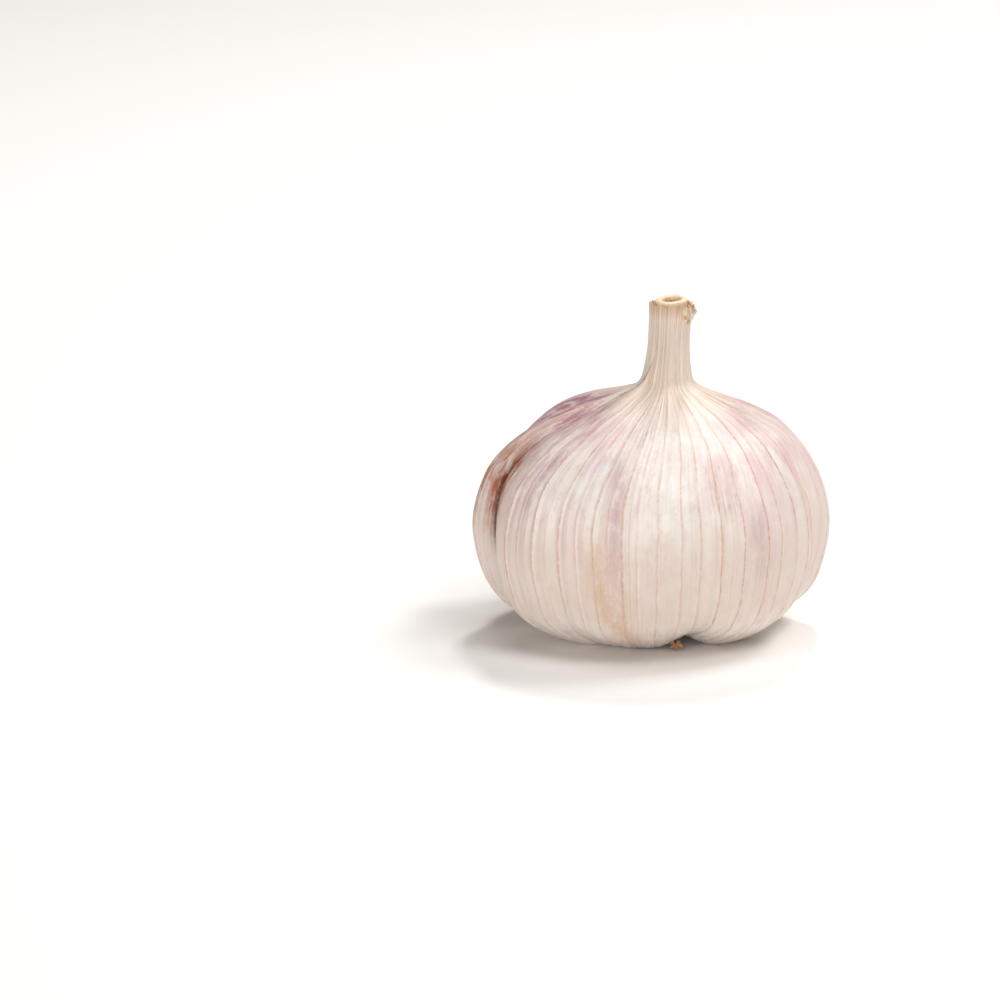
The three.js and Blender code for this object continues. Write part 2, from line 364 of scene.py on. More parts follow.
PATCHES = (
    Patch(Stain.MAUVE, -116, 0.47, 28, 0.08, 1.0),
    Patch(Stain.MAUVE, -86, 0.42, 20, 0.05, 0.75),
    Patch(Stain.MAUVE, -62, 0.40, 14, 0.04, 0.9),
    Patch(Stain.MAUVE, -58, 0.50, 16, 0.07, 0.4),
    Patch(Stain.MAUVE, -68, 0.54, 9, 0.06, 0.3),
    # painted warm light: a straw tint right of the left furrow, warming its shaded skin
    Patch(Stain.STRAW_AND_WARM_LIGHT, -64, 0.60, 9, 0.07, 0.35),
    Patch(Stain.MAUVE, -42, 0.47, 12, 0.07, 0.2),
    Patch(Stain.MAUVE, -21, 0.50, 7, 0.05, 0.25),
    Patch(Stain.MAUVE, -14, 0.61, 3, 0.12, 0.35),
    Patch(Stain.MAUVE, 1, 0.66, 7, 0.05, 0.22),
    Patch(Stain.MAUVE, 25, 0.53, 7, 0.022, 0.7),
    Patch(Stain.MAUVE, 37, 0.65, 5, 0.05, 0.3),
    Patch(Stain.MAUVE, 55, 0.49, 10, 0.06, 0.4),
    Patch(Stain.MAUVE, 76, 0.40, 24, 0.05, 0.8),
    Patch(Stain.MAUVE, 118, 0.47, 22, 0.09, 0.8),
    Patch(Stain.MAUVE, 165, 0.55, 26, 0.08, 0.6),
    Patch(Stain.MAUVE, -155, 0.50, 14, 0.12, 0.7),
    Patch(Stain.STRAW_AND_WARM_LIGHT, -20, 0.67, 5, 0.05, 0.45),
    Patch(Stain.STRAW_AND_WARM_LIGHT, -16, 0.74, 4, 0.06, 0.35),
    Patch(Stain.STRAW_AND_WARM_LIGHT, -8, 0.80, 10, 0.08, 0.4),
    Patch(Stain.STRAW_AND_WARM_LIGHT, -86, 0.55, 12, 0.07, 0.5),
    Patch(Stain.STRAW_AND_WARM_LIGHT, 72, 0.60, 12, 0.07, 0.3),
    Patch(Stain.STRAW_AND_WARM_LIGHT, 140, 0.72, 12, 0.1, 0.6),
    # painted warm light: orange beside the left furrow, where light shines through the skin, over a stain of
    # its own
    Patch(Stain.RUST_AND_WARM_LIGHT, -84, 0.57, 9, 0.06, 0.8),
    Patch(Stain.RUST_AND_WARM_LIGHT, -72, 0.57, 5, 0.05, 1.4),
    Patch(Stain.RUST_AND_WARM_LIGHT, -70, 0.62, 5, 0.06, 1.0),
    Patch(Stain.RUST_AND_WARM_LIGHT, 168, 0.66, 4, 0.09, 0.6),
    Patch(Stain.RUST_AND_WARM_LIGHT, 76, 0.03, 16, 0.025, 0.7),
    # painted shade: dark brown down the furrows at -76 and 168 degrees, over their own brown
    Patch(Stain.UMBER_AND_FURROW_SHADE, -76, 0.53, 0.8, 0.06, 0.6),
    Patch(Stain.UMBER_AND_FURROW_SHADE, -77, 0.61, 1.5, 0.06, 0.9),
    Patch(Stain.UMBER_AND_FURROW_SHADE, 168, 0.66, 1.4, 0.08, 0.8),
)


def only(piece: bpy.types.Object) -> None:
    """Deselects everything, then selects one piece and makes it active."""
    for other in bpy.context.view_layer.objects:
        other.select_set(False)
    piece.select_set(True)
    bpy.context.view_layer.objects.active = piece


def coordinates(mesh: bpy.types.Mesh) -> Array:
    """A mesh's vertices in millimetres, one row each."""
    flat = np.empty(len(mesh.vertices) * 3)
    mesh.vertices.foreach_get("co", flat)
    return flat.reshape(-1, 3) / MM


def move_vertices(mesh: bpy.types.Mesh, points: Array) -> None:
    """Writes points in millimetres into a mesh."""
    mesh.vertices.foreach_set("co", (points * MM).ravel())
    mesh.update()


def put_attribute(mesh: bpy.types.Mesh, name: str, values: Array, domain: str = "POINT") -> None:
    """Keeps numbers or vectors on a mesh for its material to read.

    Args:
        mesh: The mesh.
        name: The attribute's name.
        values: One number or one row of three for each element.
        domain: POINT for vertices or CORNER for face corners.
    """
    vector = values.ndim == 2
    layer = mesh.attributes.new(name, "FLOAT_VECTOR" if vector else "FLOAT", domain)
    flat = np.ascontiguousarray(values, dtype=np.float32).ravel()
    layer.data.foreach_set("vector" if vector else "value", flat)


def turn_profile(
    name: str, profile: Sequence[tuple[float, float]], places: Sequence[float], columns: int
) -> bpy.types.Object:
    """Wraps a grid round the z axis along a profile, into a closed solid.

    Args:
        name: The piece's name.
        profile: Pairs of radius and height in millimetres. The first and the last lie on the axis.
        places: A number for each pair, kept on the vertices as the attribute "place".
        columns: How many columns the full turn has.

    Returns:
        The new piece, with its normals outwards.
    """
    bpy.ops.mesh.primitive_grid_add(x_subdivisions=columns, y_subdivisions=len(profile) - 1, size=1)
    piece = bpy.context.active_object
    piece.name = piece.data.name = name
    grid = coordinates(piece.data) * MM + 0.5
    turn = np.round(grid[:, 0] * columns) / columns * FULL_TURN
    row = np.round(grid[:, 1] * (len(profile) - 1)).astype(int)
    radius, height = np.array(profile)[row].T
    move_vertices(piece.data, np.stack([-radius * np.sin(turn), radius * np.cos(turn), height], axis=1))
    put_attribute(piece.data, "place", np.array(places)[row])
    only(piece)
    bpy.ops.object.mode_set(mode="EDIT")
    bpy.ops.mesh.select_all(action="SELECT")
    bpy.ops.mesh.remove_doubles(threshold=1e-7)
    bpy.ops.mesh.normals_make_consistent(inside=False)
    bpy.ops.object.mode_set(mode="OBJECT")
    bpy.ops.object.shade_smooth()
    return piece


def place_of(mesh: bpy.types.Mesh) -> Array:
    """The attribute "place" of a mesh's vertices."""
    values = np.empty(len(mesh.vertices), dtype=np.float32)
    mesh.attributes["place"].data.foreach_get("value", values)
    return values.astype(float)


def azimuth_of(points: Array) -> Array:
    """The azimuths of points, in degrees."""
    return np.degrees(np.arctan2(points[:, 0], -points[:, 1]))


def apply_modifier(piece: bpy.types.Object, kind: str, **settings: float | int | str | bool) -> None:
    """Adds a modifier to a piece, sets it up and applies it."""
    only(piece)
    modifier = piece.modifiers.new(kind.title(), kind)
    for key, value in settings.items():
        setattr(modifier, key, value)
    bpy.ops.object.modifier_apply(modifier=modifier.name)


def fuse(name: str, pieces: list[bpy.types.Object]) -> bpy.types.Object:
    """Joins pieces into the first of them and names it."""
    only(pieces[0])
    for piece in pieces:
        piece.select_set(True)
    bpy.ops.object.join()
    pieces[0].name = name
    pieces[0].data.name = name
    return pieces[0]


def turned(angle: float, axis: str) -> Matrix:
    """A rotation about one of the axes X, Y and Z, by an angle in radians."""
    return Matrix.Rotation(angle, 4, axis)


def copy_at(model: bpy.types.Object, matrix: Matrix) -> bpy.types.Object:
    """A copy of a small piece with its own mesh, moved by a matrix in millimetres."""
    mesh = model.data.copy()
    scaled = Matrix.Scale(MM, 4) @ matrix @ Matrix.Scale(1 / MM, 4)
    mesh.transform(scaled)
    twin = bpy.data.objects.new(model.name, mesh)
    bpy.context.scene.collection.objects.link(twin)
    return twin


class Sketch:
    """Builds one material's nodes with short calls."""

    def __init__(self, name: str) -> None:
        """Starts a material with its principled shader.

        Args:
            name: The material's name.
        """
        self.material = bpy.data.materials.new(name)
        self.material.use_nodes = True
        self.tree = self.material.node_tree
        self.tree.nodes.clear()
        self.shader = self.tree.nodes.new("ShaderNodeBsdfPrincipled")
        output = self.tree.nodes.new("ShaderNodeOutputMaterial")
        self.tree.links.new(self.shader.outputs["BSDF"], output.inputs["Surface"])

    def feed(self, node: bpy.types.Node, key: str | int, value: object) -> None:
        """Links a socket to a node's input, or sets the input to a plain value."""
        if isinstance(value, bpy.types.NodeSocket):
            self.tree.links.new(value, node.inputs[key])
        else:
            node.inputs[key].default_value = value

    def attribute(self, name: str, output: str = "Fac") -> Socket:
        """A number or, with output Vector, a vector that the mesh carries."""
        node = self.tree.nodes.new("ShaderNodeAttribute")
        node.attribute_name = name
        return node.outputs[output]

    def place(self) -> Socket:
        """The object's own coordinates."""
        return self.tree.nodes.new("ShaderNodeTexCoord").outputs["Object"]

    def math(self, operation: str, a: object, b: object = 0.0, c: object = 0.0) -> Socket:
        """The result of one operation on up to three numbers."""
        node = self.tree.nodes.new("ShaderNodeMath")
        node.operation = operation
        for key, value in enumerate((a, b, c)):
            self.feed(node, key, value)
        return node.outputs["Value"]

    def product(self, *factors: object) -> Socket:
        """The product of two or more numbers."""
        result = factors[0]
        for factor in factors[1:]:
            result = self.math("MULTIPLY", result, factor)
        return result

    def times(self, vector: Socket, scale: tuple[float, float, float]) -> Socket:
        """A vector with each part multiplied by its own number."""
        node = self.tree.nodes.new("ShaderNodeVectorMath")
        node.operation = "MULTIPLY"
        self.feed(node, 0, vector)
        self.feed(node, 1, scale)
        return node.outputs["Vector"]

    def height_of(self, vector: Socket) -> Socket:
        """The third part of a vector."""
        node = self.tree.nodes.new("ShaderNodeSeparateXYZ")
        self.feed(node, 0, vector)
        return node.outputs["Z"]

    def noise(
        self, vector: Socket, scale: tuple[float, float, float], detail: float = 3.0, rough: float = 0.6
    ) -> Socket:
        """Cloudy noise from 0 to 1.

        Args:
            vector: Where it is taken.
            scale: How many of its cells a unit of the vector has, along each of its parts.
            detail: How many finer layers it has.
            rough: How strong each finer layer is, from 0 to 1.

        Returns:
            The noise's socket.
        """
        node = self.tree.nodes.new("ShaderNodeTexNoise")
        self.feed(node, "Vector", self.times(vector, scale))
        self.feed(node, "Scale", 1.0)
        self.feed(node, "Detail", detail)
        self.feed(node, "Roughness", rough)
        return node.outputs["Fac"]

    def woven(self, fibre: Socket, weave: "Weave") -> Socket:
        """Noise from 0 to 1, stretched along the fibres."""
        return self.noise(fibre, (weave.across, weave.across, weave.along), weave.detail, weave.rough)

    def cells(self, vector: Socket, scale: float) -> Socket:
        """The distance to the nearest of scattered points."""
        node = self.tree.nodes.new("ShaderNodeTexVoronoi")
        self.feed(node, "Vector", vector)
        self.feed(node, "Scale", scale)
        return node.outputs["Distance"]

    def lot(self, number: Socket) -> Socket:
        """A draw from 0 to 1 for each whole number."""
        node = self.tree.nodes.new("ShaderNodeTexWhiteNoise")
        node.noise_dimensions = "1D"
        self.feed(node, "W", number)
        return node.outputs["Value"]

    def ramp(
        self, value: object, low: float, high: float, start: float = 0.0, end: float = 1.0
    ) -> Socket:
        """Goes smoothly from start to end while value goes from low to high."""
        node = self.tree.nodes.new("ShaderNodeMapRange")
        node.interpolation_type = "SMOOTHSTEP"
        keys = ("Value", "From Min", "From Max", "To Min", "To Max")
        for key, given in zip(keys, (value, low, high, start, end)):
            self.feed(node, key, given)
        return node.outputs["Result"]

    def blend(self, share: object, a: object, b: object) -> Socket:
        """Colour a with a share of colour b over it."""
        node = self.tree.nodes.new("ShaderNodeMix")
        node.data_type = "RGBA"
        node.clamp_factor = True
        self.feed(node, 0, share)
        self.feed(node, 6, a)
        self.feed(node, 7, b)
        return node.outputs[2]

    def bump(
        self, height: Socket, distance: float, strength: float, under: Socket | None = None
    ) -> Socket:
        """A normal that a height bends.

        Args:
            height: The height's socket, from 0 to 1.
            distance: How many millimetres a height of 1 is.
            strength: How much of it shows.
            under: The normal of a coarser bump that this one lies on.

        Returns:
            The normal's socket.
        """
        node = self.tree.nodes.new("ShaderNodeBump")
        self.feed(node, "Height", height)
        self.feed(node, "Distance", distance * MM)
        self.feed(node, "Strength", strength)
        if under is not None:
            self.feed(node, "Normal", under)
        return node.outputs["Normal"]

    def set(self, **values: object) -> None:
        """Feeds the shader's sockets, with underscores for the spaces in their names."""
        for key, value in values.items():
            self.feed(self.shader, key.replace("_", " "), value)


@dataclass(frozen=True)
class Weave:
    """A noise that is stretched along the skin's fibres.

    Attributes:
        across: Its cells per millimetre across the fibres.
        along: Its cells per millimetre along them.
        detail: How many finer layers it has.
        rough: How strong each finer layer is, from 0 to 1.
    """

    across: float
    along: float
    detail: float = 3.0
    rough: float = 0.6


@dataclass(frozen=True)
class Line:
    """The lines of one fineness that are drawn along the skin.

    Attributes:
        count: How many of them each strip between two veins has.
        wide: Half their width, in millimetres.
        strong: How strongly the darkest of them shows.
        least: The share of that with which the faintest shows.
    """

    count: float
    wide: float
    strong: float
    least: float = 0.0


LINES = (Line(1.0, 0.34, 0.95, 0.6), Line(2.0, 0.2, 0.5), Line(4.0, 0.15, 0.32), Line(9.0, 0.1, 0.22))


@dataclass(frozen=True)
class PaperySkin:
    """Dry garlic skin: satin ivory, streaked along its fibres, with mauve patches and fine dark veins.

    Its lengths along the fibres are counted in millimetres from the neck's cut rim.

    Attributes:
        neck_length: Where the neck widens into the shoulder.
        belly: Where the painted shade of the belly begins, is full, begins to fade and is gone.
        line_share: Half the width of a line at most, as a share of the spacing of its kind.
        line_shift: Keeps the draws for lines of different kinds off each other.
    """

    ivory: Colour = paint(242, 233, 224)
    grey: Colour = paint(231, 223, 215)
    # the clove's white seen through the skin, also the colour of the painted highlight beside the veins
    flesh_and_highlight: Colour = paint(246, 241, 236)
    rosy: Colour = paint(231, 202, 203)
    cloud: Colour = paint(222, 206, 198)
    # painted shade that darkens the belly
    painted_belly_shade: Colour = paint(214, 197, 184)
    mauve: Colour = paint(176, 128, 140)
    straw: Colour = paint(208, 170, 126)
    # orange-brown stains, also painted warm light beside the left furrow
    rust_and_warm_light: Colour = paint(176, 96, 62)
    # dark brown of the furrows, carrying painted shade in them
    umber_and_furrow_shade: Colour = paint(92, 38, 20)
    vein: Colour = paint(160, 96, 98)
    warm_vein: Colour = paint(200, 146, 116)
    crease: Colour = paint(150, 88, 70)
    neck: Colour = paint(246, 231, 217)
    neck_shade: Colour = paint(224, 202, 184)
    neck_line: Colour = paint(184, 148, 124)
    rim: Colour = paint(196, 152, 108)
    clear: Weave = Weave(0.22, 0.14, 5.0)
    mottle: Weave = Weave(0.55, 0.36, 6.0, 0.7)
    faint_threads: Weave = Weave(2.4, 0.10)
    drifts: Weave = Weave(0.2, 0.09, 5.0, 0.62)
    blots: Weave = Weave(0.42, 0.26, 6.0, 0.7)
    threads: Weave = Weave(1.5, 0.08)
    bundles: Weave = Weave(0.6, 0.035)
    wander: Weave = Weave(0.4, 0.4, 4.0)
    hue: Weave = Weave(0.09, 0.02, 1.0, 0.5)
    faded: Weave = Weave(0.25, 0.09, 3.0, 0.5)
    dashes: Weave = Weave(1.4, 1.3, 3.0, 0.65)
    bunches: Weave = Weave(0.3, 0.04, 3.0, 0.5)
    crinkle: Weave = Weave(0.9, 0.35, 4.0, 0.55)
    fine: Weave = Weave(5.0, 0.5)
    grain: Weave = Weave(2.2, 1.8, 4.0, 0.65)
    neck_length: float = 15.0
    belly: tuple[float, float, float, float] = (38.0, 50.0, 57.0, 66.0)
    line_share: float = 0.32
    line_shift: float = 0.013

    def plain(self, sketch: Sketch, fibre: Socket) -> Socket:
        """The skin's colour: a tone for each strip, with clouds, faint threads and painted shade on the
        belly.

        Args:
            sketch: The material's sketch.
            fibre: The vector that runs round the bulb and along its fibres, in millimetres.

        Returns:
            The colour's socket.
        """
        strip = sketch.math("FLOOR", sketch.attribute("strip"))
        colour = sketch.blend(sketch.ramp(sketch.lot(strip), 0.0, 1.0, 0.0, 0.85), self.ivory, self.grey)
        clear = sketch.ramp(sketch.woven(fibre, self.clear), 0.45, 0.6, 0.0, 0.8)
        colour = sketch.blend(clear, colour, self.flesh_and_highlight)
        mottle = sketch.ramp(sketch.woven(fibre, self.mottle), 0.46, 0.7, 0.0, 0.75)
        colour = sketch.blend(mottle, colour, self.cloud)
        along = sketch.height_of(fibre)
        # painted shade: the belly darkens towards a warm grey, which fades out again above the base
        begins, full, fades, gone = self.belly
        rise = sketch.ramp(along, begins, full, 0.0, 0.7)
        belly = sketch.product(rise, sketch.ramp(along, fades, gone, 1.0, 0.0))
        colour = sketch.blend(belly, colour, self.painted_belly_shade)
        threads = sketch.ramp(sketch.woven(fibre, self.faint_threads), 0.5, 0.76, 0.0, 0.4)
        return sketch.blend(threads, colour, self.cloud)

    def on_neck(self, sketch: Sketch, fibre: Socket) -> Socket:
        """The neck's own browner colour, with fibre bundles and a straw-coloured rim."""
        bundles = sketch.woven(fibre, self.bundles)
        colour = sketch.blend(sketch.ramp(bundles, 0.4, 0.62), self.neck, self.neck_shade)
        near_rim = sketch.ramp(sketch.height_of(fibre), 0.3, 2.4, 0.8, 0.0)
        dried = sketch.product(near_rim, sketch.ramp(bundles, 0.34, 0.56, 0.1, 1.0))
        return sketch.blend(dried, colour, self.rim)

    def stained(self, sketch: Sketch, fibre: Socket) -> Socket:
        """The skin's colour with its flush, its neck with painted shade of the neck's shadow below it, and
        its stains with painted shade in the furrows and painted warm light by the left one, before its
        veins.

        Args:
            sketch: The material's sketch.
            fibre: The vector that runs round the bulb and along its fibres, in millimetres.

        Returns:
            The colour's socket.
        """
        blots = sketch.woven(fibre, self.blots)
        threads = sketch.woven(fibre, self.threads)
        drifts = sketch.ramp(sketch.woven(fibre, self.drifts), 0.4, 0.62, 0.1, 0.95)
        pink = sketch.product(sketch.attribute("flush"), drifts, sketch.ramp(threads, 0.3, 0.65, 0.6, 1.0))
        colour = sketch.blend(pink, self.plain(sketch, fibre), self.rosy)
        # painted shade, with the neck's own colour: the neck's tint runs down onto the shoulder's foot,
        # where the neck's shadow falls
        start = self.neck_length + 1.5
        neck = sketch.ramp(sketch.height_of(fibre), start, start + 10.5, 0.92, 0.0)
        neck = sketch.product(neck, sketch.math("SUBTRACT", 1.0, sketch.attribute("behind")))
        colour = sketch.blend(neck, colour, self.on_neck(sketch, fibre))
        cloudy = sketch.ramp(blots, 0.36, 0.62, 0.15, 1.0)
        cloudy = sketch.product(cloudy, sketch.ramp(threads, 0.3, 0.65, 0.85, 1.05))
        for stain, shade in ((Stain.MAUVE, self.mauve), (Stain.STRAW_AND_WARM_LIGHT, self.straw), (Stain.RUST_AND_WARM_LIGHT, self.rust_and_warm_light)):
            colour = sketch.blend(sketch.product(sketch.attribute(stain.value), cloudy), colour, shade)
        # painted shade in the furrows, laid with their own brown
        umber_and_furrow_shade = sketch.product(sketch.attribute(Stain.UMBER_AND_FURROW_SHADE.value), sketch.ramp(blots, 0.32, 0.55, 0.4, 1.0))
        return sketch.blend(umber_and_furrow_shade, colour, self.umber_and_furrow_shade)

    def line(self, sketch: Sketch, kind: Line, across: Socket, gap: Socket) -> Socket:
        """How strongly the lines of one kind show, with a strength of its own for each line.

        Args:
            sketch: The material's sketch.
            kind: The kind of line.
            across: The place across the strips, a whole number at each vein.
            gap: The distance between the two veins, in millimetres.

        Returns:
            The socket of a share from 0 to 1.
        """
        number = sketch.math("MULTIPLY_ADD", across, kind.count, kind.count * self.line_shift)
        own_share = sketch.ramp(sketch.lot(sketch.math("ROUND", number)), 0.0, 1.0, kind.least, 1.0)
        phase = sketch.math("FRACT", sketch.product(across, kind.count))
        off_middle = sketch.math("ABSOLUTE", sketch.math("SUBTRACT", phase, 0.5))
        near = sketch.math("SUBTRACT", 0.5, off_middle)
        away = sketch.math("DIVIDE", sketch.product(near, gap), kind.count)
        edge = sketch.math("MINIMUM", kind.wide, sketch.product(gap, self.line_share / kind.count))
        return sketch.product(sketch.ramp(away, 0.0, edge, kind.strong, 0.0), own_share)

    def veined(self, sketch: Sketch, fibre: Socket, colour: Socket) -> Socket:
        """Draws the veins at the edges of the strips with a painted highlight beside each, finer lines
        between them, and the fold's crease.

        Args:
            sketch: The material's sketch.
            fibre: The vector that runs round the bulb and along its fibres, in millimetres.
            colour: The colour under the veins.

        Returns:
            The colour's socket.
        """
        gap = sketch.attribute("gap")
        wander = sketch.math("SUBTRACT", sketch.woven(fibre, self.wander), 0.5)
        across = sketch.math("MULTIPLY_ADD", wander, 0.12, sketch.attribute("strip"))
        along = sketch.height_of(fibre)
        on_neck = sketch.ramp(along, self.neck_length, self.neck_length + 10.0, 1.0, 0.0)
        hue = sketch.ramp(sketch.woven(fibre, self.hue), 0.33, 0.57)
        line_colour = sketch.blend(on_neck, sketch.blend(hue, self.vein, self.warm_vein), self.neck_line)
        faded = sketch.woven(fibre, self.faded)
        beside = sketch.product(sketch.math("FRACT", across), gap)
        # painted highlight: a pale band along one side of each vein, off the neck
        painted_vein_highlight = sketch.product(
            sketch.ramp(beside, 0.15, 0.5, 0.4, 0.0),
            sketch.ramp(faded, 0.4, 0.6),
            sketch.math("SUBTRACT", 1.0, on_neck),
        )
        colour = sketch.blend(painted_vein_highlight, colour, self.flesh_and_highlight)
        whole = sketch.product(
            sketch.ramp(faded, 0.34, 0.56, 0.45, 1.0),
            sketch.ramp(sketch.woven(fibre, self.dashes), 0.34, 0.6, 0.4, 1.0),
            sketch.ramp(sketch.attribute("bold"), 0.4, 1.3, 0.4, 1.0),
        )
        shoulder = self.neck_length + 2.0
        grown = sketch.ramp(along, shoulder, shoulder + 12.0, 0.5, 1.0)
        crowded = sketch.ramp(along, shoulder, shoulder + 18.0, 1.8, 0.9)
        bunches = sketch.ramp(sketch.woven(fibre, self.bunches), 0.42, 0.62, 0.25, 1.0)
        bunched = sketch.product(bunches, crowded)
        for kind in LINES:
            strength = bunched if kind.count > 1 else grown
            shown = sketch.product(self.line(sketch, kind, across, gap), whole, strength)
            colour = sketch.blend(shown, colour, line_colour)
        return sketch.blend(sketch.product(sketch.attribute("crease"), 0.85), colour, self.crease)

    def material(self) -> bpy.types.Material:
        """The finished material, for a mesh that carries the skin's attributes."""
        sketch = Sketch("papery_skin")
        fibre = sketch.attribute("fibre", "Vector")
        sketch.set(Base_Color=self.veined(sketch, fibre, self.stained(sketch, fibre)))
        crinkle = sketch.woven(fibre, self.crinkle)
        normal = sketch.bump(crinkle, 0.3, 0.45)
        normal = sketch.bump(sketch.woven(fibre, self.grain), 0.1, 0.5, normal)
        normal = sketch.bump(sketch.woven(fibre, self.fine), 0.06, 0.5, normal)
        sketch.set(Normal=normal, Roughness=sketch.ramp(crinkle, 0.3, 0.7, 0.3, 0.44))
        sketch.set(Subsurface_Weight=0.12, Subsurface_Scale=2.0 * MM, Subsurface_Radius=(1.0, 0.6, 0.4))
        return sketch.material


@dataclass(frozen=True)
class DryStraw:
    """The cut end of the flower stalk: cream on the cut, straw-coloured and fibrous inside."""

    cream: Colour = paint(248, 231, 205)
    straw: Colour = paint(224, 184, 136)
    brown: Colour = paint(164, 106, 60)

    def material(self, name: str) -> bpy.types.Material:
        """The finished material, on the object's own coordinates and its attribute "pith".

        Args:
            name: The material's name.

        Returns:
            The material.
        """
        sketch = Sketch(name)
        place = sketch.place()
        fibres = sketch.noise(place, (4200, 4200, 260), 4.0)
        grain = sketch.noise(place, (2600, 2600, 2600))
        colour = sketch.blend(sketch.ramp(fibres, 0.35, 0.75, 0.0, 0.7), self.cream, self.straw)
        pith = sketch.attribute("pith")
        dull = sketch.product(pith, sketch.ramp(grain, 0.3, 0.7, 0.35, 1.0))
        colour = sketch.blend(dull, colour, self.straw)
        deep = sketch.product(pith, sketch.ramp(grain, 0.46, 0.64, 0.0, 0.7))
        sketch.set(Base_Color=sketch.blend(deep, colour, self.brown), Roughness=0.72)
        sketch.set(Normal=sketch.bump(grain, 0.16, 0.8), Subsurface_Weight=0.1, Subsurface_Scale=1.0 * MM)
        return sketch.material


@dataclass(frozen=True)
class RootCork:
    """The corky root plate: tan, granular and fibrous, with darker orange-brown root stubs."""

    tan: Colour = paint(214, 178, 134)
    brown: Colour = paint(168, 118, 72)
    dark: Colour = paint(112, 70, 40)

    def material(self) -> bpy.types.Material:
        """The finished material, on the object's own coordinates and its attribute "pith"."""
        sketch = Sketch("root_cork")
        place = sketch.place()
        grain = sketch.noise(place, (1500, 1500, 1500), 5.0, 0.65)
        pores = sketch.cells(place, 1100)
        colour = sketch.blend(sketch.ramp(grain, 0.35, 0.7), self.tan, self.brown)
        colour = sketch.blend(sketch.ramp(pores, 0.1, 0.32, 0.55, 0.0), colour, self.dark)
        root = sketch.product(sketch.attribute("pith"), sketch.ramp(grain, 0.35, 0.65, 0.1, 0.7))
        colour = sketch.blend(root, colour, self.brown)
        sketch.set(Base_Color=colour, Roughness=0.85, Normal=sketch.bump(grain, 0.3, 0.9))
        return sketch.material


@dataclass(frozen=True)
class PaleFloor:
    """A plain pale studio floor."""

    white: Colour = paint(252, 250, 247)

    def material(self) -> bpy.types.Material:
        """The finished material."""
        sketch = Sketch("pale_floor")
        sketch.set(Base_Color=self.white, Roughness=0.6, Specular_IOR_Level=0.2)
        return sketch.material


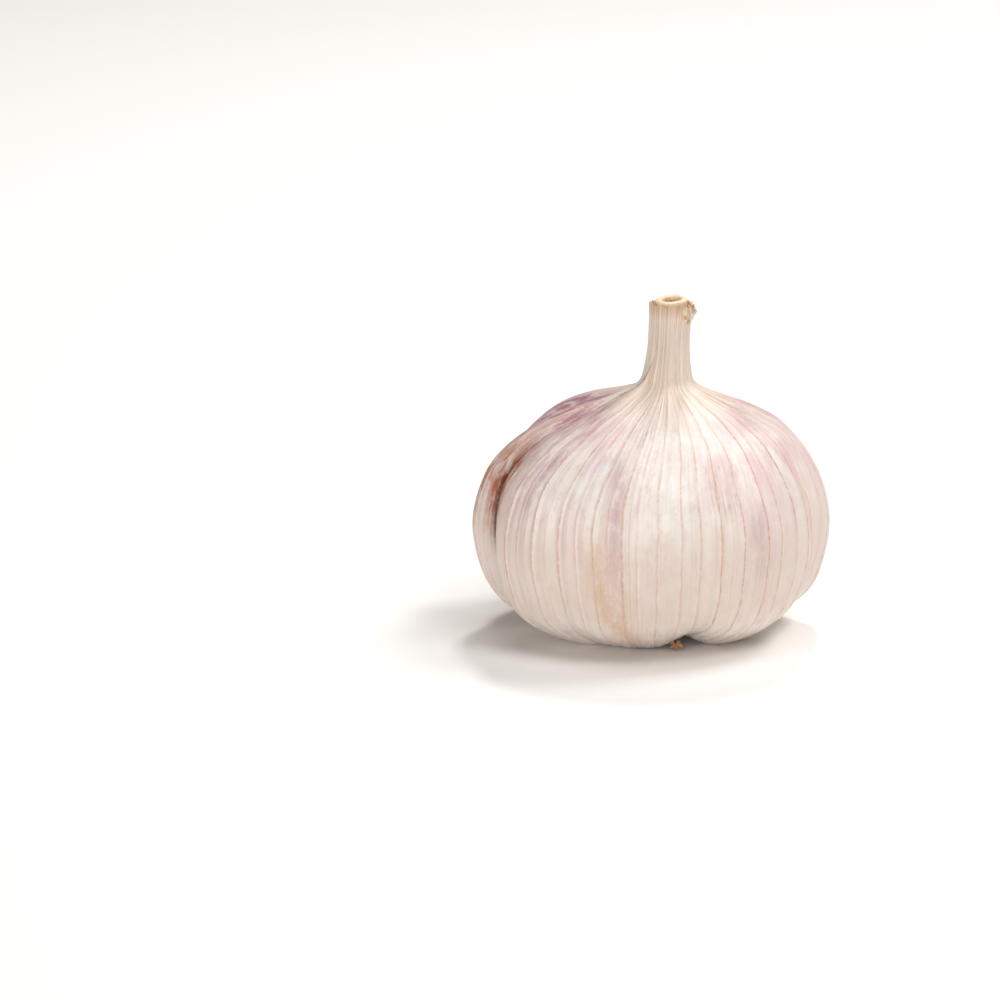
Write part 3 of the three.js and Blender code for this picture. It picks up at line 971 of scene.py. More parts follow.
@dataclass
class Skin:
    """The papery skin: cloves, veins, the neck's sheath with its torn rim, and the fold at its foot.

    Attributes:
        form: The bulb's shape.
        axis: Where the bulb's axis meets the floor, in millimetres.
        columns_per_vein: How many columns of the mesh lie between two veins.
        rim_rows: Rows close under the torn rim.
        rows: Rows along the rest of the outline.
        rim_share: The share of the outline that the rim's rows cover.
        sheath_wall: Thickness of the neck's sheath at its rim.
        rim_ragged: How far the rim's height differs from strip to strip.
        fibre_ragged: How far it differs from fibre to fibre.
        tatter_azimuth: Middle of the torn part of the rim, in degrees.
        tatter_width: Its width, in degrees.
        tatter_flare: How far it curls out.
        tatter_drop: How far its edge is torn down, at most.
        tatter_length: How far down the neck it reaches.
        vein_neck: Height of an ordinary vein on the neck.
        vein_belly: The same on the belly.
        vein_base: The same under the bulb.
        rib: Height of the fine ribs between the veins of the neck.
        pillow: How far the strips between the veins puff out, in the mean.
        wave: Height of the skin's slow waves.
        flute: Height of the neck's flutes.
        pleat: Height of the pleats at the root plate.
        fold_azimuth: Where the fold lies at the neck's foot, in degrees.
        fold_place: The place along the outline at which it lies there.
        fold_turn: How many degrees it turns away for the whole of the outline.
        fold_rise: Its height.
    """

    form: BulbForm
    axis: tuple[float, float]
    columns_per_vein: int = 15
    rim_rows: int = 12
    rows: int = 108
    rim_share: float = 0.045
    sheath_wall: float = 0.3
    rim_ragged: float = 0.36
    fibre_ragged: float = 0.28
    tatter_azimuth: float = 68.0
    tatter_width: float = 26.0
    tatter_flare: float = 0.95
    tatter_drop: float = 0.6
    tatter_length: float = 3.2
    vein_neck: float = 0.06
    vein_belly: float = 0.30
    vein_base: float = 0.42
    rib: float = 0.03
    pillow: float = 0.26
    wave: float = 0.12
    flute: float = 0.035
    pleat: float = 0.16
    fold_azimuth: float = -58.0
    fold_place: float = 0.27
    fold_turn: float = 130.0
    fold_rise: float = 0.7

    def profile(self) -> tuple[list[tuple[float, float]], list[float]]:
        """The profile to turn, from the bore's floor over the rim to the root plate's seat.

        Returns:
            Pairs of radius and height, and a place for each: below 0 inside the neck, above 1 in the seat.
        """
        form = self.form
        floor = form.height - form.bore_depth
        points = [(0.0, floor), (form.bore_radius, floor), (form.bore_radius, form.height - 3)]
        places = [-2.0, -1.0, -0.2]
        points.append((form.bore_radius + 0.1, form.height - 0.1))
        places.append(-0.02)
        under_rim = np.linspace(0, 1, self.rim_rows, endpoint=False) ** 1.3 * self.rim_share
        rest = np.linspace(self.rim_share, 1, self.rows)
        along = np.concatenate([under_rim, rest])
        points += [tuple(pair) for pair in form.outline(along)]
        places += list(along)
        points += [(form.seat_radius, form.seat_top), (0.0, form.seat_top)]
        places += [1.5, 2.0]
        return points, places

    def veins_at(self, column: Array) -> dict[str, Array]:
        """Where columns lie between the veins, crowded towards them.

        Args:
            column: The even position of a column, counted in veins from the back of the bulb.

        Returns:
            Arrays: azimuth in degrees, strip, share between two veins, gap in degrees, index and strength.
        """
        veins = self.form.veins()
        azimuths = np.array([vein.azimuth for vein in veins])
        strengths = np.array([vein.strength for vein in veins])
        count = len(veins)
        gaps = np.append(azimuths[1:], azimuths[0] + 360) - azimuths
        k = np.floor(column + 1e-6).astype(int)
        even = np.clip(column - k, 0, 1)
        half = np.minimum(even, 1 - even)
        crowded = (2 * half) ** 1.6 / 2
        share = np.where(even < 0.5, crowded, 1 - crowded)
        k = k % count
        nearer = np.where(share < 0.5, k, (k + 1) % count)
        return {
            "azimuth": azimuths[k] + gaps[k] * share,
            "strip": k + share,
            "share": share,
            "gap": gaps[k],
            "index": k,
            "strength": strengths[nearer],
        }

    def vein_relief(self, lie: dict[str, Array], place: Array) -> Array:
        """The ridges of the veins and the puffed strips between them, in millimetres."""
        belly = smoothstep(place, 0.35, 0.62)
        base = smoothstep(place, 0.88, 1)
        height = self.vein_neck + (self.vein_belly - self.vein_neck) * belly
        height += (self.vein_base - self.vein_belly) * base
        narrow = 0.26 - 0.15 * belly + 0.12 * base
        near = np.minimum(lie["share"], 1 - lie["share"])
        ridge = height * lie["strength"] * np.exp(-((near / narrow) ** 2))
        fine = self.rib * np.cos(2 * FULL_TURN * lie["share"]) * Stretch(0.02, 0.1, 0.36, 0.46).share(place)
        puff = self.pillow * Stretch(0.4, 0.55, 0.85, 0.97).share(place)
        strip = puff * (0.4 + draw(lie["index"], 6)) * (0.5 - 0.5 * np.cos(FULL_TURN * lie["share"]))
        return ridge + strip + fine

    def past_fold(self, azimuth: Array, place: Array) -> Array:
        """How many degrees azimuths lie in front of the fold at the neck's left foot."""
        return turned_away(azimuth, self.fold_azimuth - self.fold_turn * (place - self.fold_place))

    def fold(self, azimuth: Array, place: Array) -> Array:
        """The fold at the neck's left foot: raised in front of its edge and sunk behind, in millimetres."""
        past = self.past_fold(azimuth, place)
        front = smoothstep(past, -3, 0) * (1 - smoothstep(past, 0, 45))
        behind = smoothstep(past, -40, -8) * (1 - smoothstep(past, -3, 0))
        return self.fold_rise * (front - 0.5 * behind) * Stretch(0.17, 0.28, 0.35, 0.43).share(place)

    def wrinkles(self, azimuth: Array, place: Array) -> Array:
        """Slow waves of the dry skin over the cloves, flutes on the neck and pleats at the root plate.

        Args:
            azimuth: Azimuths in degrees.
            place: Places along the outline.

        Returns:
            Millimetres along the outline's normal.
        """
        turn = np.radians(azimuth)
        waves = np.sin(5 * turn + 21 * place) * np.sin(17 * place + 2 * turn + 1)
        waves += 0.6 * np.sin(11 * turn - 33 * place + 2) * np.sin(29 * place + 3 * turn)
        flutes = np.sin(7 * turn + 3 * place + 1)
        flutes += 0.8 * np.sin(12 * turn - 4 * place) + 0.6 * np.sin(19 * turn + 2)
        pleats = smoothstep(place, 0.93, 1) * np.sin(31 * turn + 2 * np.sin(5 * turn))
        relief = self.wave * waves * Stretch(0.35, 0.5, 0.93, 1.0).share(place)
        relief += self.flute * flutes * Stretch(0.0, 0.03, 0.3, 0.4).share(place)
        return relief + self.pleat * pleats + self.fold(azimuth, place)

    def torn(
        self, azimuth: Array, radius: Array, height: Array, index: Array, column: Array
    ) -> tuple[Array, Array]:
        """Tears the rim, strip by strip and fibre by fibre, and curls the tatter outwards.

        Args:
            azimuth: Azimuths in degrees.
            radius: Radii before the tear.
            height: Heights before the tear.
            index: The strip's number.
            column: The even position of the column, counted in veins.

        Returns:
            The radii and heights after it.
        """
        tatter = np.exp(-2 * (turned_away(azimuth, self.tatter_azimuth) / self.tatter_width) ** 2)
        below = self.form.height - height
        fades = 1 - smoothstep(below, self.tatter_length / 2, self.tatter_length)
        curl = (0.72 + 0.28 * smoothstep(below, 0, 0.9)) * fades
        spot = np.stack([np.radians(azimuth) * 3.6, below, np.zeros_like(below)], axis=1)
        lumps = 0.8 + 0.35 * rough_field(spot, 0.5, 46) + 0.2 * rough_field(spot, 0.25, 47)
        flare = self.tatter_flare * tatter * curl * lumps
        fibre = np.round(column * self.columns_per_vein)
        cut = self.rim_ragged * (draw(index, 3) - 0.6) + self.tatter_drop * tatter * draw(index, 4)
        cut += self.fibre_ragged * (draw(fibre, 12) - 0.5)
        return radius + flare, height - cut * (1 - smoothstep(below, 0, 1.2))

    def points(self, column: Array, place: Array) -> tuple[Array, dict[str, Array]]:
        """The skin's vertices and what its material needs.

        Args:
            column: The even position of each vertex's column, counted in veins.
            place: The place of each vertex along the profile.

        Returns:
            The points in millimetres, and how each lies between the veins.
        """
        form = self.form
        lie = self.veins_at(column)
        on_skin = np.clip(place, 0, 1)
        spot = np.stack([lie["strip"] * 0.9, 60 * on_skin, np.zeros_like(place)], axis=1)
        drift = 1.1 * rough_field(spot, 9.0, 44) + 0.55 * rough_field(spot, 3.6, 45)
        azimuth = lie["azimuth"] + drift * Stretch(0.3, 0.5, 0.85, 1.0).share(on_skin)
        outline, normal = form.outline(on_skin), form.outward(on_skin)
        out = form.clove_relief(azimuth, on_skin) + self.vein_relief(lie, on_skin)
        out += self.wrinkles(azimuth, on_skin)
        radius, height = outline[:, 0] + normal[:, 0] * out, outline[:, 1] + normal[:, 1] * out
        radius, height = self.torn(azimuth, radius, height, lie["index"], column)
        height = np.maximum(height, 0)
        floor = form.height - form.bore_depth
        inside = np.clip(-place, 0, 1)
        thinned = radius - self.sheath_wall * smoothstep(inside, 0, 0.02)
        bored = thinned + (form.bore_radius - thinned) * smoothstep(inside, 0.02, 0.2)
        radius = np.where(place < 0, bored, np.where(place > 1, form.seat_radius, radius))
        radius = np.where(np.abs(place) >= 2, 0, radius)
        height = np.where(place < 0, height + (floor - height) * inside, height)
        height = np.where(place > 1, form.seat_top, height)
        turn = np.radians(azimuth)
        x = self.axis[0] + form.lean(height) + radius * np.sin(turn)
        y = self.axis[1] - radius * np.cos(turn)
        lie["azimuth"] = azimuth
        lie["gap"] = np.radians(lie["gap"]) * radius
        return np.stack([x, y, height], axis=1), lie

    def note_stains(self, mesh: bpy.types.Mesh, lie: dict[str, Array], place: Array) -> None:
        """Keeps on the mesh how strong each stain, the flush and the fold's crease are; the furrows' dark
        brown carries painted shade, and the orange and straw by the left furrow painted warm light.

        Args:
            mesh: The skin's mesh.
            lie: How its vertices lie between the veins.
            place: Their places along the profile.
        """
        azimuth, index = lie["azimuth"], lie["index"]
        on_skin = np.clip(place, 0, 1)
        own = 0.5 + draw(index, 43)
        lifted = on_skin + 0.05 * (draw(index, 41) - 0.5) + 0.02 * np.sin(40 * lie["share"] + 7 * index)
        for stain in Stain:
            amount = own * sum(p.share(azimuth, lifted) for p in PATCHES if p.stain is stain)
            if stain is Stain.STRAW_AND_WARM_LIGHT:
                amount = amount + 0.6 * (1 - smoothstep(on_skin, 0.0, 0.03))
                amount = np.where(place < 0, 1.0, amount + 0.45 * smoothstep(on_skin, 0.93, 1.0))
            put_attribute(mesh, stain.value, np.clip(amount, 0, 1.6))
        pale = 1 - 0.85 * np.exp(-((turned_away(azimuth, 4) / 17) ** 2))
        lower = 1 - 0.8 * smoothstep(on_skin, 0.52, 0.68)
        put_attribute(mesh, "flush", pale * smoothstep(on_skin, 0.33, 0.42) * lower)
        past = self.past_fold(azimuth, on_skin)
        foot = Stretch(0.15, 0.24, 0.34, 0.4).share(on_skin)
        put_attribute(mesh, "crease", foot * np.exp(-(((past - 1.0) / 2.4) ** 2)))
        put_attribute(mesh, "behind", foot * smoothstep(past, -80, -40) * (1 - smoothstep(past, -3, 0)))

    def note_fibres(self, mesh: bpy.types.Mesh, lie: dict[str, Array], place: Array) -> None:
        """Keeps on the mesh how its fibres run, and how it lies between the veins.

        Args:
            mesh: The skin's mesh.
            lie: How its vertices lie between the veins.
            place: Their places along the profile.
        """
        turn = np.radians(lie["azimuth"])
        steps = np.linspace(0, 1, 400)
        lengths = np.linalg.norm(np.diff(self.form.outline(steps), axis=0), axis=1)
        along = np.interp(np.clip(place, 0, 1), steps, np.append(0, np.cumsum(lengths)))
        belly = self.form.belly_radius
        put_attribute(mesh, "fibre", np.stack([belly * np.sin(turn), -belly * np.cos(turn), along], axis=1))
        put_attribute(mesh, "gap", lie["gap"])
        put_attribute(mesh, "bold", lie["strength"])
        corners = np.empty(len(mesh.loops), dtype=np.int32)
        starts = np.empty(len(mesh.polygons), dtype=np.int32)
        totals = np.empty(len(mesh.polygons), dtype=np.int32)
        mesh.loops.foreach_get("vertex_index", corners)
        mesh.polygons.foreach_get("loop_start", starts)
        mesh.polygons.foreach_get("loop_total", totals)
        strips = lie["strip"][corners]
        count = len(self.form.veins())
        wrapped = np.repeat(np.maximum.reduceat(strips, starts), totals) - strips > count / 2
        put_attribute(mesh, "strip", np.where(wrapped, strips + count, strips), "CORNER")

    def build(self) -> bpy.types.Object:
        """Turns the profile, shapes it and notes on it what its material reads."""
        points, places = self.profile()
        count = len(self.form.veins())
        piece = turn_profile("papery_skin", points, places, count * self.columns_per_vein)
        mesh = piece.data
        place = place_of(mesh)
        column = (azimuth_of(coordinates(mesh)) + 180) / 360 * count
        moved, lie = self.points(column, place)
        move_vertices(mesh, moved)
        self.note_fibres(mesh, lie, place)
        self.note_stains(mesh, lie, place)
        return piece


@dataclass
class Stalk:
    """The cut flower stalk that stands in the neck, with torn pith in its hollow end.

    Attributes:
        form: The bulb's shape.
        axis: Where the bulb's axis meets the floor, in millimetres.
        radius: Its outer radius.
        proud: How far its cut end stands above the neck.
        hole_radius: Radius of its hollow end.
        hole_depth: Depth of that hollow.
        clearance: The gap between its foot and the floor of the neck's bore.
        slant_right: Rise of the cut end per millimetre towards +X.
        slant_back: The same towards +Y.
        rim: The rounded outer rim, as pairs of how far in and how far down.
        mouth: The hole's rounded mouth, as pairs of how much wider than the hole and how far down.
        columns: Columns of its mesh.
        fibres: How many torn fibres stand in the hole.
    """

    form: BulbForm
    axis: tuple[float, float]
    radius: float = 2.58
    proud: float = 0.85
    hole_radius: float = 1.55
    hole_depth: float = 2.0
    clearance: float = 0.3
    slant_right: float = 0.05
    slant_back: float = 0.075
    rim: tuple[tuple[float, float], ...] = ((0.0, 0.5), (0.02, 0.25), (0.14, 0.07), (0.34, 0.0), (0.6, 0.02))
    mouth: tuple[tuple[float, float], ...] = ((0.1, 0.16), (0.0, 0.4), (-0.05, 0.9))
    columns: int = 120
    fibres: int = 70

    def profile(self) -> tuple[list[tuple[float, float]], list[float]]:
        """Pairs of radius and height from the stalk's foot over its cut end to the floor of the hole."""
        foot = self.form.height - self.form.bore_depth + self.clearance
        top = self.form.height + self.proud
        floor = top - self.hole_depth
        points = [(0.0, foot), (self.radius - 0.3, foot), (self.radius - 0.1, foot + 0.4)]
        points += [(self.radius - 0.08, top - 6), (self.radius, top - 1.6)]
        points += [(self.radius - inset, top - drop) for inset, drop in self.rim]
        points += [(self.hole_radius + 0.3, top - 0.06)]
        points += [(self.hole_radius + wider, top - drop) for wider, drop in self.mouth]
        points += [(self.hole_radius - 0.2, floor + 0.25), (self.hole_radius * 0.55, floor)]
        points += [(0.0, floor + 0.1)]
        return points, [float(i) for i in range(len(points))]

    def shaped(self, points: Array) -> Array:
        """Makes the turned stalk oval and slanted, roughens it and stands it in the leaning neck."""
        top = self.form.height + self.proud
        azimuth = np.radians(azimuth_of(points))
        radius = np.hypot(points[:, 0], points[:, 1])
        near_top = smoothstep(points[:, 2], top - 1.2, top - 0.2)
        uneven = rough_field(points, 0.45, 3) + 0.6 * rough_field(points, 0.2, 4)
        oval = 1 + 0.02 * np.cos(2 * azimuth + 0.6) + 0.012 * np.cos(5 * azimuth)
        grown = radius * oval + np.where(radius > 0.01, 0.035 * uneven, 0)
        slant = (self.slant_right * np.sin(azimuth) - self.slant_back * np.cos(azimuth)) * radius * near_top
        inner = (radius < self.hole_radius - 0.1) & (points[:, 2] > top - self.hole_depth - 0.5)
        height = points[:, 2] + slant + 0.05 * uneven * near_top + np.where(inner, 0.22 * uneven, 0)
        height = np.minimum(height, top + 0.2)
        x = self.axis[0] + self.form.lean(height) + grown * np.sin(azimuth)
        return np.stack([x, self.axis[1] - grown * np.cos(azimuth), height], axis=1)

    def pith(self) -> list[bpy.types.Object]:
        """Torn fibres that stand in the hole and round the cut, one modelled and copied."""
        bpy.ops.mesh.primitive_cone_add(vertices=5, radius1=0.11 * MM, radius2=0.03 * MM, depth=0.9 * MM)
        model = bpy.context.active_object
        model.name = "pith_fibre"
        only(model)
        bpy.ops.object.mode_set(mode="EDIT")
        bpy.ops.mesh.select_all(action="SELECT")
        bpy.ops.mesh.subdivide(number_cuts=2)
        bpy.ops.object.mode_set(mode="OBJECT")
        bend = coordinates(model.data)
        bend[:, 0] += 0.35 * (bend[:, 2] + 0.45) ** 2
        move_vertices(model.data, bend)
        top = self.form.height + self.proud
        made = []
        for k in range(self.fibres):
            ring = self.hole_radius * math.sqrt(float(draw(k, 21))) * 0.95
            turn = FULL_TURN * float(draw(k, 22))
            height = top - self.hole_depth + 0.35 + 0.75 * float(draw(k, 23)) * ring / self.hole_radius
            x = self.axis[0] + float(self.form.lean(height)) + ring * math.sin(turn)
            place = Matrix.Translation((x, self.axis[1] - ring * math.cos(turn), height))
            tilt = turned(1.5 * float(draw(k, 24)), "X") @ turned(FULL_TURN * float(draw(k, 25)), "Z")
            made.append(copy_at(model, place @ turned(turn, "Z") @ tilt))
        bpy.data.objects.remove(model)
        return made

    def build(self) -> bpy.types.Object:
        """Turns, smooths and shapes the stalk, and sets the pith in it."""
        points, places = self.profile()
        piece = turn_profile("stalk", points, places, self.columns)
        apply_modifier(piece, "SUBSURF", levels=1, render_levels=1)
        place = place_of(piece.data)
        move_vertices(piece.data, self.shaped(coordinates(piece.data)))
        put_attribute(piece.data, "pith", smoothstep(place, 10.5, 13.5))
        fibres = fuse("pith", self.pith())
        put_attribute(fibres.data, "pith", np.full(len(fibres.data.vertices), 0.7))
        return fuse("cut_stalk", [piece, fibres])


@dataclass
class RootPlate:
    """The corky disc under the bulb, cracked across, with the stubs of its trimmed roots.

    Attributes:
        axis: Where the bulb's axis meets the floor, in millimetres.
        radius: The disc's radius.
        face: Height of its lower face.
        top: Height of its upper face.
        columns: Columns of its mesh.
        stubs: How many root stubs it has.
        crumbs: How many broken stubs lie in the furrow at the front.
        crumb_place: Where they lie, in millimetres from the axis.
        tufts: Azimuths of the two tufts, in degrees.
        tuft_spread: Width of a tuft, in degrees.
        stub_length: Length of the model stub.
        stub_radius: Its radius at the thick end.
    """

    axis: tuple[float, float]
    radius: float = 8.9
    face: float = 2.6
    top: float = 5.3
    columns: int = 144
    stubs: int = 150
    crumbs: int = 5
    crumb_place: tuple[float, float] = (3.5, -15.4)
    tufts: tuple[float, float] = (18.0, -125.0)
    tuft_spread: float = 70.0
    stub_length: float = 2.2
    stub_radius: float = 0.42

    def profile(self) -> tuple[list[tuple[float, float]], list[float]]:
        """Pairs of radius and height from the middle of the lower face to the middle of the upper one."""
        rings = np.linspace(0, self.radius - 0.6, 26)
        points = [(float(r), self.face + 0.25 * float(smoothstep(r, 6.5, 8.3))) for r in rings]
        points += [(self.radius - 0.25, self.face + 0.7), (self.radius - 0.1, self.top - 0.4)]
        points += [(self.radius - 0.6, self.top), (0.0, self.top)]
        return points, [float(i) for i in range(len(points))]

    def roughened(self, points: Array) -> Array:
        """Gives the lower face its grain, its shaved facets and the crack across it."""
        lower = 1 - smoothstep(points[:, 2], self.face + 0.5, self.face + 1.0)
        grain = rough_field(points, 1.4, 5) + 0.6 * rough_field(points, 0.6, 6)
        grain += 0.4 * rough_field(points, 0.3, 7)
        crack = points[:, 1] - 0.35 * points[:, 0] - 0.8 * np.sin(0.9 * points[:, 0])
        crack += 0.5 * rough_field(points, 0.8, 8)
        split = 0.8 * np.exp(-((crack / 0.3) ** 2)) * (1 - smoothstep(np.abs(points[:, 0]), 5, 8))
        moved = points.copy()
        moved[:, 2] += lower * (0.17 * grain + split)
        return moved + np.array([*self.axis, 0.0])

    def stub_model(self) -> bpy.types.Object:
        """One trimmed root: a tapering stub with a crook in it, its thick end at its own origin."""
        middle = (0, 0, -self.stub_length / 2 * MM)
        bpy.ops.mesh.primitive_cylinder_add(
            vertices=7, radius=self.stub_radius * MM, depth=self.stub_length * MM, location=middle
        )
        model = bpy.context.active_object
        only(model)
        bpy.ops.object.transform_apply(location=True)
        bpy.ops.object.mode_set(mode="EDIT")
        bpy.ops.mesh.select_all(action="SELECT")
        bpy.ops.mesh.subdivide(number_cuts=2)
        bpy.ops.object.mode_set(mode="OBJECT")
        points = coordinates(model.data)
        down = -points[:, 2] / self.stub_length
        points[:, :2] *= (1 - 0.5 * down)[:, None]
        points[:, 0] += 0.5 * down**2
        points += 0.06 * np.stack([rough_field(points, 0.5, s) for s in (31, 32, 33)], axis=1)
        move_vertices(model.data, points)
        return model

    def roots(self) -> list[bpy.types.Object]:
        """The stubs round the rim, most of them in two tufts, each leaning its own way."""
        model = self.stub_model()
        made = []
        for k in range(self.stubs):
            in_tuft = k % 3 != 0
            spread = self.tuft_spread * (float(draw(k, 5)) - 0.5)
            azimuth = math.radians(self.tufts[k % 2] + spread if in_tuft else 360 * float(draw(k, 5)))
            ring = self.radius - 1.1 - (2.2 if in_tuft else 0.7) * float(draw(k, 8))
            long = (0.75 if in_tuft else 0.45) + 0.5 * float(draw(k, 6))
            thick = 0.65 + 0.6 * float(draw(k, 7))
            x = self.axis[0] + ring * math.sin(azimuth)
            place = Matrix.Translation((x, self.axis[1] - ring * math.cos(azimuth), self.face + 0.6))
            lean = turned(0.9 * (float(draw(k, 10)) - 0.5), "Y")
            lean = lean @ turned(0.9 * (float(draw(k, 11)) - 0.5), "X")
            lean = lean @ turned(FULL_TURN * float(draw(k, 9)), "Z")
            made.append(copy_at(model, place @ lean @ Matrix.Diagonal((thick, thick, long, 1.0))))
        for k in range(self.crumbs):
            lots = [float(draw(k, series)) for series in range(71, 77)]
            x = self.axis[0] + self.crumb_place[0] + 1.3 * (lots[0] - 0.5)
            y = self.axis[1] + self.crumb_place[1] + 0.8 * (lots[1] - 0.5)
            place = Matrix.Translation((x, y, 0.7 + 0.9 * lots[2]))
            twist = turned(FULL_TURN * lots[3], "Z") @ turned(0.6 + 1.6 * lots[4], "X")
            size = Matrix.Diagonal((1.0, 1.0, 0.32 + 0.2 * lots[5], 1.0))
            made.append(copy_at(model, place @ twist @ size))
        bpy.data.objects.remove(model)
        return made

    def build(self) -> bpy.types.Object:
        """Turns and roughens the disc and sets the root stubs in it."""
        points, places = self.profile()
        disc = turn_profile("disc", points, places, self.columns)
        move_vertices(disc.data, self.roughened(coordinates(disc.data)))
        put_attribute(disc.data, "pith", np.zeros(len(disc.data.vertices)))
        roots = fuse("roots", self.roots())
        put_attribute(roots.data, "pith", np.ones(len(roots.data.vertices)))
        only(roots)
        bpy.ops.object.shade_smooth()
        return fuse("root_disc", [disc, roots])


@dataclass
class InnerSheath:
    """A thin ragged leaf sheath that stands between the neck's skin and the flower stalk.

    Attributes:
        form: The bulb's shape.
        axis: Where the bulb's axis meets the floor, in millimetres.
        inner_radius: Its inner radius.
        wall: Its thickness.
        length: How far down the neck it reaches.
        below_rim: How far its rim stays under the neck's.
        ragged: How far its rim is torn down.
        columns: Columns of its mesh.
        rows: Rows of its mesh.
    """

    form: BulbForm
    axis: tuple[float, float]
    inner_radius: float = 2.69
    wall: float = 0.13
    length: float = 6.5
    below_rim: float = 0.4
    ragged: float = 0.5
    columns: int = 216
    rows: int = 10

    def build(self) -> bpy.types.Object:
        """Turns the sheath's thin wall, tears its rim and stands it in the neck."""
        top = self.form.height - self.below_rim
        heights = top - self.length * np.linspace(1, 0, self.rows) ** 2
        outer = [(self.inner_radius + self.wall, float(z)) for z in heights]
        inner = [(self.inner_radius, float(z)) for z in heights[::-1]]
        profile = [*outer, *inner, outer[0]]
        piece = turn_profile("inner_sheath", profile, [0.0] * len(profile), self.columns)
        points = coordinates(piece.data)
        azimuth = azimuth_of(points)
        turn = np.radians(azimuth)
        fibre = np.round((azimuth + 180) / 360 * self.columns) % self.columns
        near_top = smoothstep(points[:, 2], top - 2.0, top)
        cut = self.ragged * (draw(np.floor(fibre / 9), 14) + 0.5 * draw(fibre, 15) - 0.4)
        height = np.minimum(points[:, 2] - near_top * cut, self.form.height + 0.05)
        radius = np.hypot(points[:, 0], points[:, 1])
        opened = near_top * 0.09 * (1 + np.sin(3 * turn + 2 + 0.5 * height))
        radius = radius + 0.03 * np.sin(5 * turn + 1) + opened
        x = self.axis[0] + self.form.lean(height) + radius * np.sin(turn)
        move_vertices(piece.data, np.stack([x, self.axis[1] - radius * np.cos(turn), height], axis=1))
        # partly painted shade: the sheath browns towards its torn top for the shade of the narrow gap round
        # the stalk, over its own dry straw
        put_attribute(piece.data, "pith", 0.7 * near_top + 0.3 * draw(fibre, 16))
        return piece


@dataclass
class Tatter:
    """Curled, porous scraps where the neck's skin tore, with one long fibre.

    Attributes:
        form: The bulb's shape.
        axis: Where the bulb's axis meets the floor, in millimetres.
        azimuth: Middle of the tear, in degrees.
        spread: Its width, in degrees.
        scraps: How many scraps it has.
        wall: Thickness of a scrap.
    """

    form: BulbForm
    axis: tuple[float, float]
    azimuth: float = 64.0
    spread: float = 50.0
    scraps: int = 16
    wall: float = 0.13

    def scrap_model(self) -> bpy.types.Object:
        """One thin curled scrap with a wavy edge, about a millimetre across, flat side outwards."""
        bpy.ops.mesh.primitive_cube_add(size=MM)
        model = bpy.context.active_object
        only(model)
        bpy.ops.object.mode_set(mode="EDIT")
        bpy.ops.mesh.select_all(action="SELECT")
        bpy.ops.mesh.subdivide(number_cuts=4)
        bpy.ops.object.mode_set(mode="OBJECT")
        points = coordinates(model.data)
        across, along = points[:, 0].copy(), points[:, 2].copy()
        points[:, 0] *= (1 - 0.9 * along**2) * (1 + 0.25 * np.sin(9 * along + 1))
        points[:, 2] *= 1 + 0.2 * np.sin(11 * across)
        curl = 0.9 * along**2 + 0.5 * across**2 + 0.05 * np.sin(12 * across + 7 * along)
        points[:, 1] = self.wall * points[:, 1] + curl
        points += 0.05 * np.stack([rough_field(points, 0.22, series) for series in (51, 52, 53)], axis=1)
        move_vertices(model.data, points)
        bpy.ops.object.shade_smooth()
        return model

    def place(self, turn: float, radius: float, height: float) -> Matrix:
        """A frame on the neck whose -Y looks outwards, in millimetres."""
        x = self.axis[0] + float(self.form.lean(height)) + radius * math.sin(turn)
        spot = Matrix.Translation((x, self.axis[1] - radius * math.cos(turn), height))
        return spot @ turned(turn, "Z")

    def build(self) -> bpy.types.Object:
        """Models one scrap and sets copies of it at the tear."""
        model = self.scrap_model()
        top = self.form.height
        made = []
        for k in range(self.scraps):
            lots = [float(draw(k, series)) for series in range(61, 68)]
            turn = math.radians(self.azimuth + self.spread * (lots[0] - 0.5))
            below = 2.2 * lots[1]
            radius = 3.5 + 0.42 * lots[2] * (1 - below / 3.5)
            size = 0.75 + 0.6 * lots[3]
            tilt = turned(0.9 * (lots[4] - 0.5), "X") @ turned(2.4 * (lots[5] - 0.5), "Y")
            shape = Matrix.Diagonal((0.95 * size, 1.1 * size, size * (0.8 + 0.5 * lots[6]), 1.0))
            made.append(copy_at(model, self.place(turn, radius, top - 0.35 - below) @ tilt @ shape))
        bristle = self.place(math.radians(70), 3.3, top + 0.2) @ turned(0.35, "Y")
        made.append(copy_at(model, bristle @ Matrix.Diagonal((0.12, 0.12, 1.9, 1.0))))
        bpy.data.objects.remove(model)
        piece = fuse("tatter", made)
        points = coordinates(piece.data)
        points[:, 2] = np.minimum(points[:, 2], top + self.form.tip_proud)
        move_vertices(piece.data, points)
        put_attribute(piece.data, "pith", 1.3 * smoothstep(rough_field(points, 0.4, 55), -0.5, 0.4))
        return piece


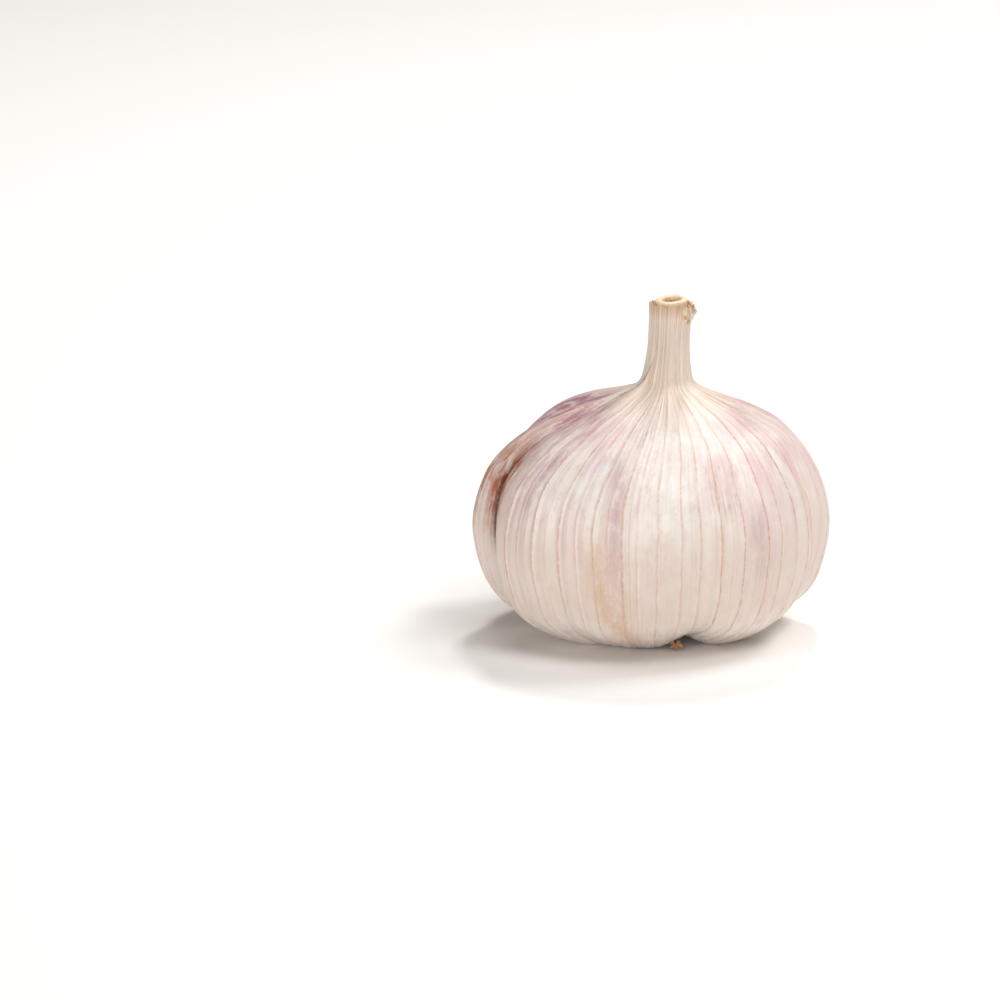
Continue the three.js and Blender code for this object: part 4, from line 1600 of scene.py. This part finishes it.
@dataclass(frozen=True)
class Lamp:
    """A rectangular soft light that looks at the bulb.

    Attributes:
        name: Its name.
        azimuth: Where it hangs round the bulb, in degrees from the front.
        elevation: How many degrees it hangs above the floor.
        distance: How far away it is, in metres.
        wide: Its width, in metres.
        tall: Its height, in metres.
        power: Its power, in watts.
        tint: The colour of its light.
    """

    name: str
    azimuth: float
    elevation: float
    distance: float
    wide: float
    tall: float
    power: float
    tint: tuple[float, float, float] = (1.0, 0.99, 0.98)

    def hang(self, target: Vector) -> None:
        """Puts the light in the scene, turned towards a target.

        Args:
            target: The point that it lights, in metres.
        """
        turn, rise = math.radians(self.azimuth), math.radians(self.elevation)
        way = Vector((math.sin(turn) * math.cos(rise), -math.cos(turn) * math.cos(rise), math.sin(rise)))
        data = bpy.data.lights.new(self.name, "AREA")
        data.shape = "RECTANGLE"
        data.size, data.size_y = self.wide, self.tall
        data.energy = self.power
        data.color = self.tint
        lamp = bpy.data.objects.new(self.name, data)
        lamp.location = target + way * self.distance
        lamp.rotation_euler = (-way).to_track_quat("-Z", "Y").to_euler()
        bpy.context.scene.collection.objects.link(lamp)


@dataclass
class Studio:
    """The pale floor, the soft lights and the camera of the picture.

    Attributes:
        axis: Where the bulb's axis meets the floor, in millimetres.
        floor_pixel: Where that point lies in the picture of 1000 by 1000 pixels.
        pixel: How many millimetres a pixel is at the bulb.
        distance: How far the camera is from the bulb, in millimetres.
        elevation: How many degrees it looks down.
        frame: The picture's width, in pixels.
        sensor: The width of the camera's sensor, in millimetres.
        floor_size: The floor's width, in metres.
        lamp_target: The point that the lamps look at, in metres.
        sky_colour: The colour of the world's even light.
        sky_strength: Its strength.
        lamps: The lamps.
    """

    axis: tuple[float, float]
    floor_pixel: tuple[float, float] = (651.0, 624.5)
    pixel: float = 0.1634
    distance: float = 900.0
    elevation: float = 14.0
    frame: float = 1000.0
    sensor: float = 36.0
    floor_size: float = 8.0
    lamp_target: tuple[float, float, float] = (0.0, 0.0, 0.025)
    sky_colour: Colour = (1.0, 0.97, 0.94, 1.0)
    sky_strength: float = 0.05
    lamps: tuple[Lamp, ...] = field(
        default_factory=lambda: (
            Lamp("low_front", 4, 9, 1.2, 0.8, 0.3, 3.5),
            Lamp("low_left", -50, 12, 1.2, 0.6, 0.36, 3.5),
            Lamp("right", 50, 55, 1.2, 0.5, 0.5, 4.8),
            Lamp("right_back", 120, 52, 1.2, 0.42, 0.42, 5.9),
            Lamp("back", 172, 50, 1.2, 0.16, 0.16, 5.0),
            Lamp("top", 0, 88, 1.2, 0.6, 0.6, 3.9),
        )
    )

    def camera(self) -> None:
        """Sets up the camera so that the bulb stands where the picture has it."""
        rise = math.radians(self.elevation)
        back = Vector((0, -math.cos(rise), math.sin(rise)))
        up = Vector((0, math.sin(rise), math.cos(rise)))
        middle = self.frame / 2
        right_by = (middle - self.floor_pixel[0]) * self.pixel
        down_by = (middle - self.floor_pixel[1]) * self.pixel
        foot = Vector((*self.axis, 0))
        seen = foot + Vector((right_by, 0, 0)) - up * down_by
        data = bpy.data.cameras.new("camera")
        data.sensor_width = self.sensor
        data.lens = self.distance / self.pixel * self.sensor / self.frame
        data.clip_start, data.clip_end = 0.05, 50.0
        eye = bpy.data.objects.new("camera", data)
        eye.location = (seen + back * self.distance) * MM
        eye.rotation_euler = (-back).to_track_quat("-Z", "Y").to_euler()
        bpy.context.scene.collection.objects.link(eye)
        bpy.context.scene.camera = eye

    def floor(self) -> bpy.types.Object:
        """Lays the pale floor."""
        bpy.ops.mesh.primitive_plane_add(size=self.floor_size, location=(0, 0, 0))
        floor = bpy.context.active_object
        floor.name = "studio_floor"
        floor.data.materials.append(PaleFloor().material())
        return floor

    def light(self) -> None:
        """Hangs the lamps and gives the world its even light."""
        for lamp in self.lamps:
            lamp.hang(Vector(self.lamp_target))
        world = bpy.data.worlds.new("studio")
        world.use_nodes = True
        sky = world.node_tree.nodes["Background"]
        sky.inputs["Color"].default_value = self.sky_colour
        sky.inputs["Strength"].default_value = self.sky_strength
        bpy.context.scene.world = world
        bpy.context.scene.view_settings.view_transform = "Standard"

    def build(self) -> None:
        """Sets up the whole studio."""
        self.camera()
        self.floor()
        self.light()


def settle(piece: bpy.types.Object, material: bpy.types.Material, node: str) -> None:
    """Gives a built piece its material, and makes it stand for its node and ride on the bulb's body.

    Args:
        piece: The built piece.
        material: Its material.
        node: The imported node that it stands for.
    """
    piece.data.materials.clear()
    piece.data.materials.append(material)
    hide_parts(node)
    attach(piece, ROOT_BODY)
    LOG.info("%s: %d faces", piece.name, len(piece.data.polygons))


def axis_of_bulb() -> tuple[float, float]:
    """Where the bulb's axis meets the floor, in millimetres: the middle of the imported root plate."""
    low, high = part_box("root_plate")
    return ((low[0] + high[0]) / 2 / MM, (low[1] + high[1]) / 2 / MM)


def main() -> None:
    """Builds the studio and the bulb's pieces in order and reports each of them."""
    logging.basicConfig(level=logging.INFO, format="%(message)s")
    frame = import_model()
    LOG.info("packed nodes: %s", ", ".join(sorted(frame["nodes"])))
    axis = axis_of_bulb()
    form = BulbForm()
    Studio(axis).build()
    straw = DryStraw()
    settle(Skin(form, axis).build(), PaperySkin().material(), "bulb")
    settle(Stalk(form, axis).build(), straw.material("cut_straw"), "flower_stalk")
    settle(InnerSheath(form, axis).build(), straw.material("inner_straw"), "bulb")
    settle(Tatter(form, axis).build(), straw.material("torn_straw"), "bulb")
    settle(RootPlate(axis).build(), RootCork().material(), "root_plate")


if __name__ == "__main__":
    main()
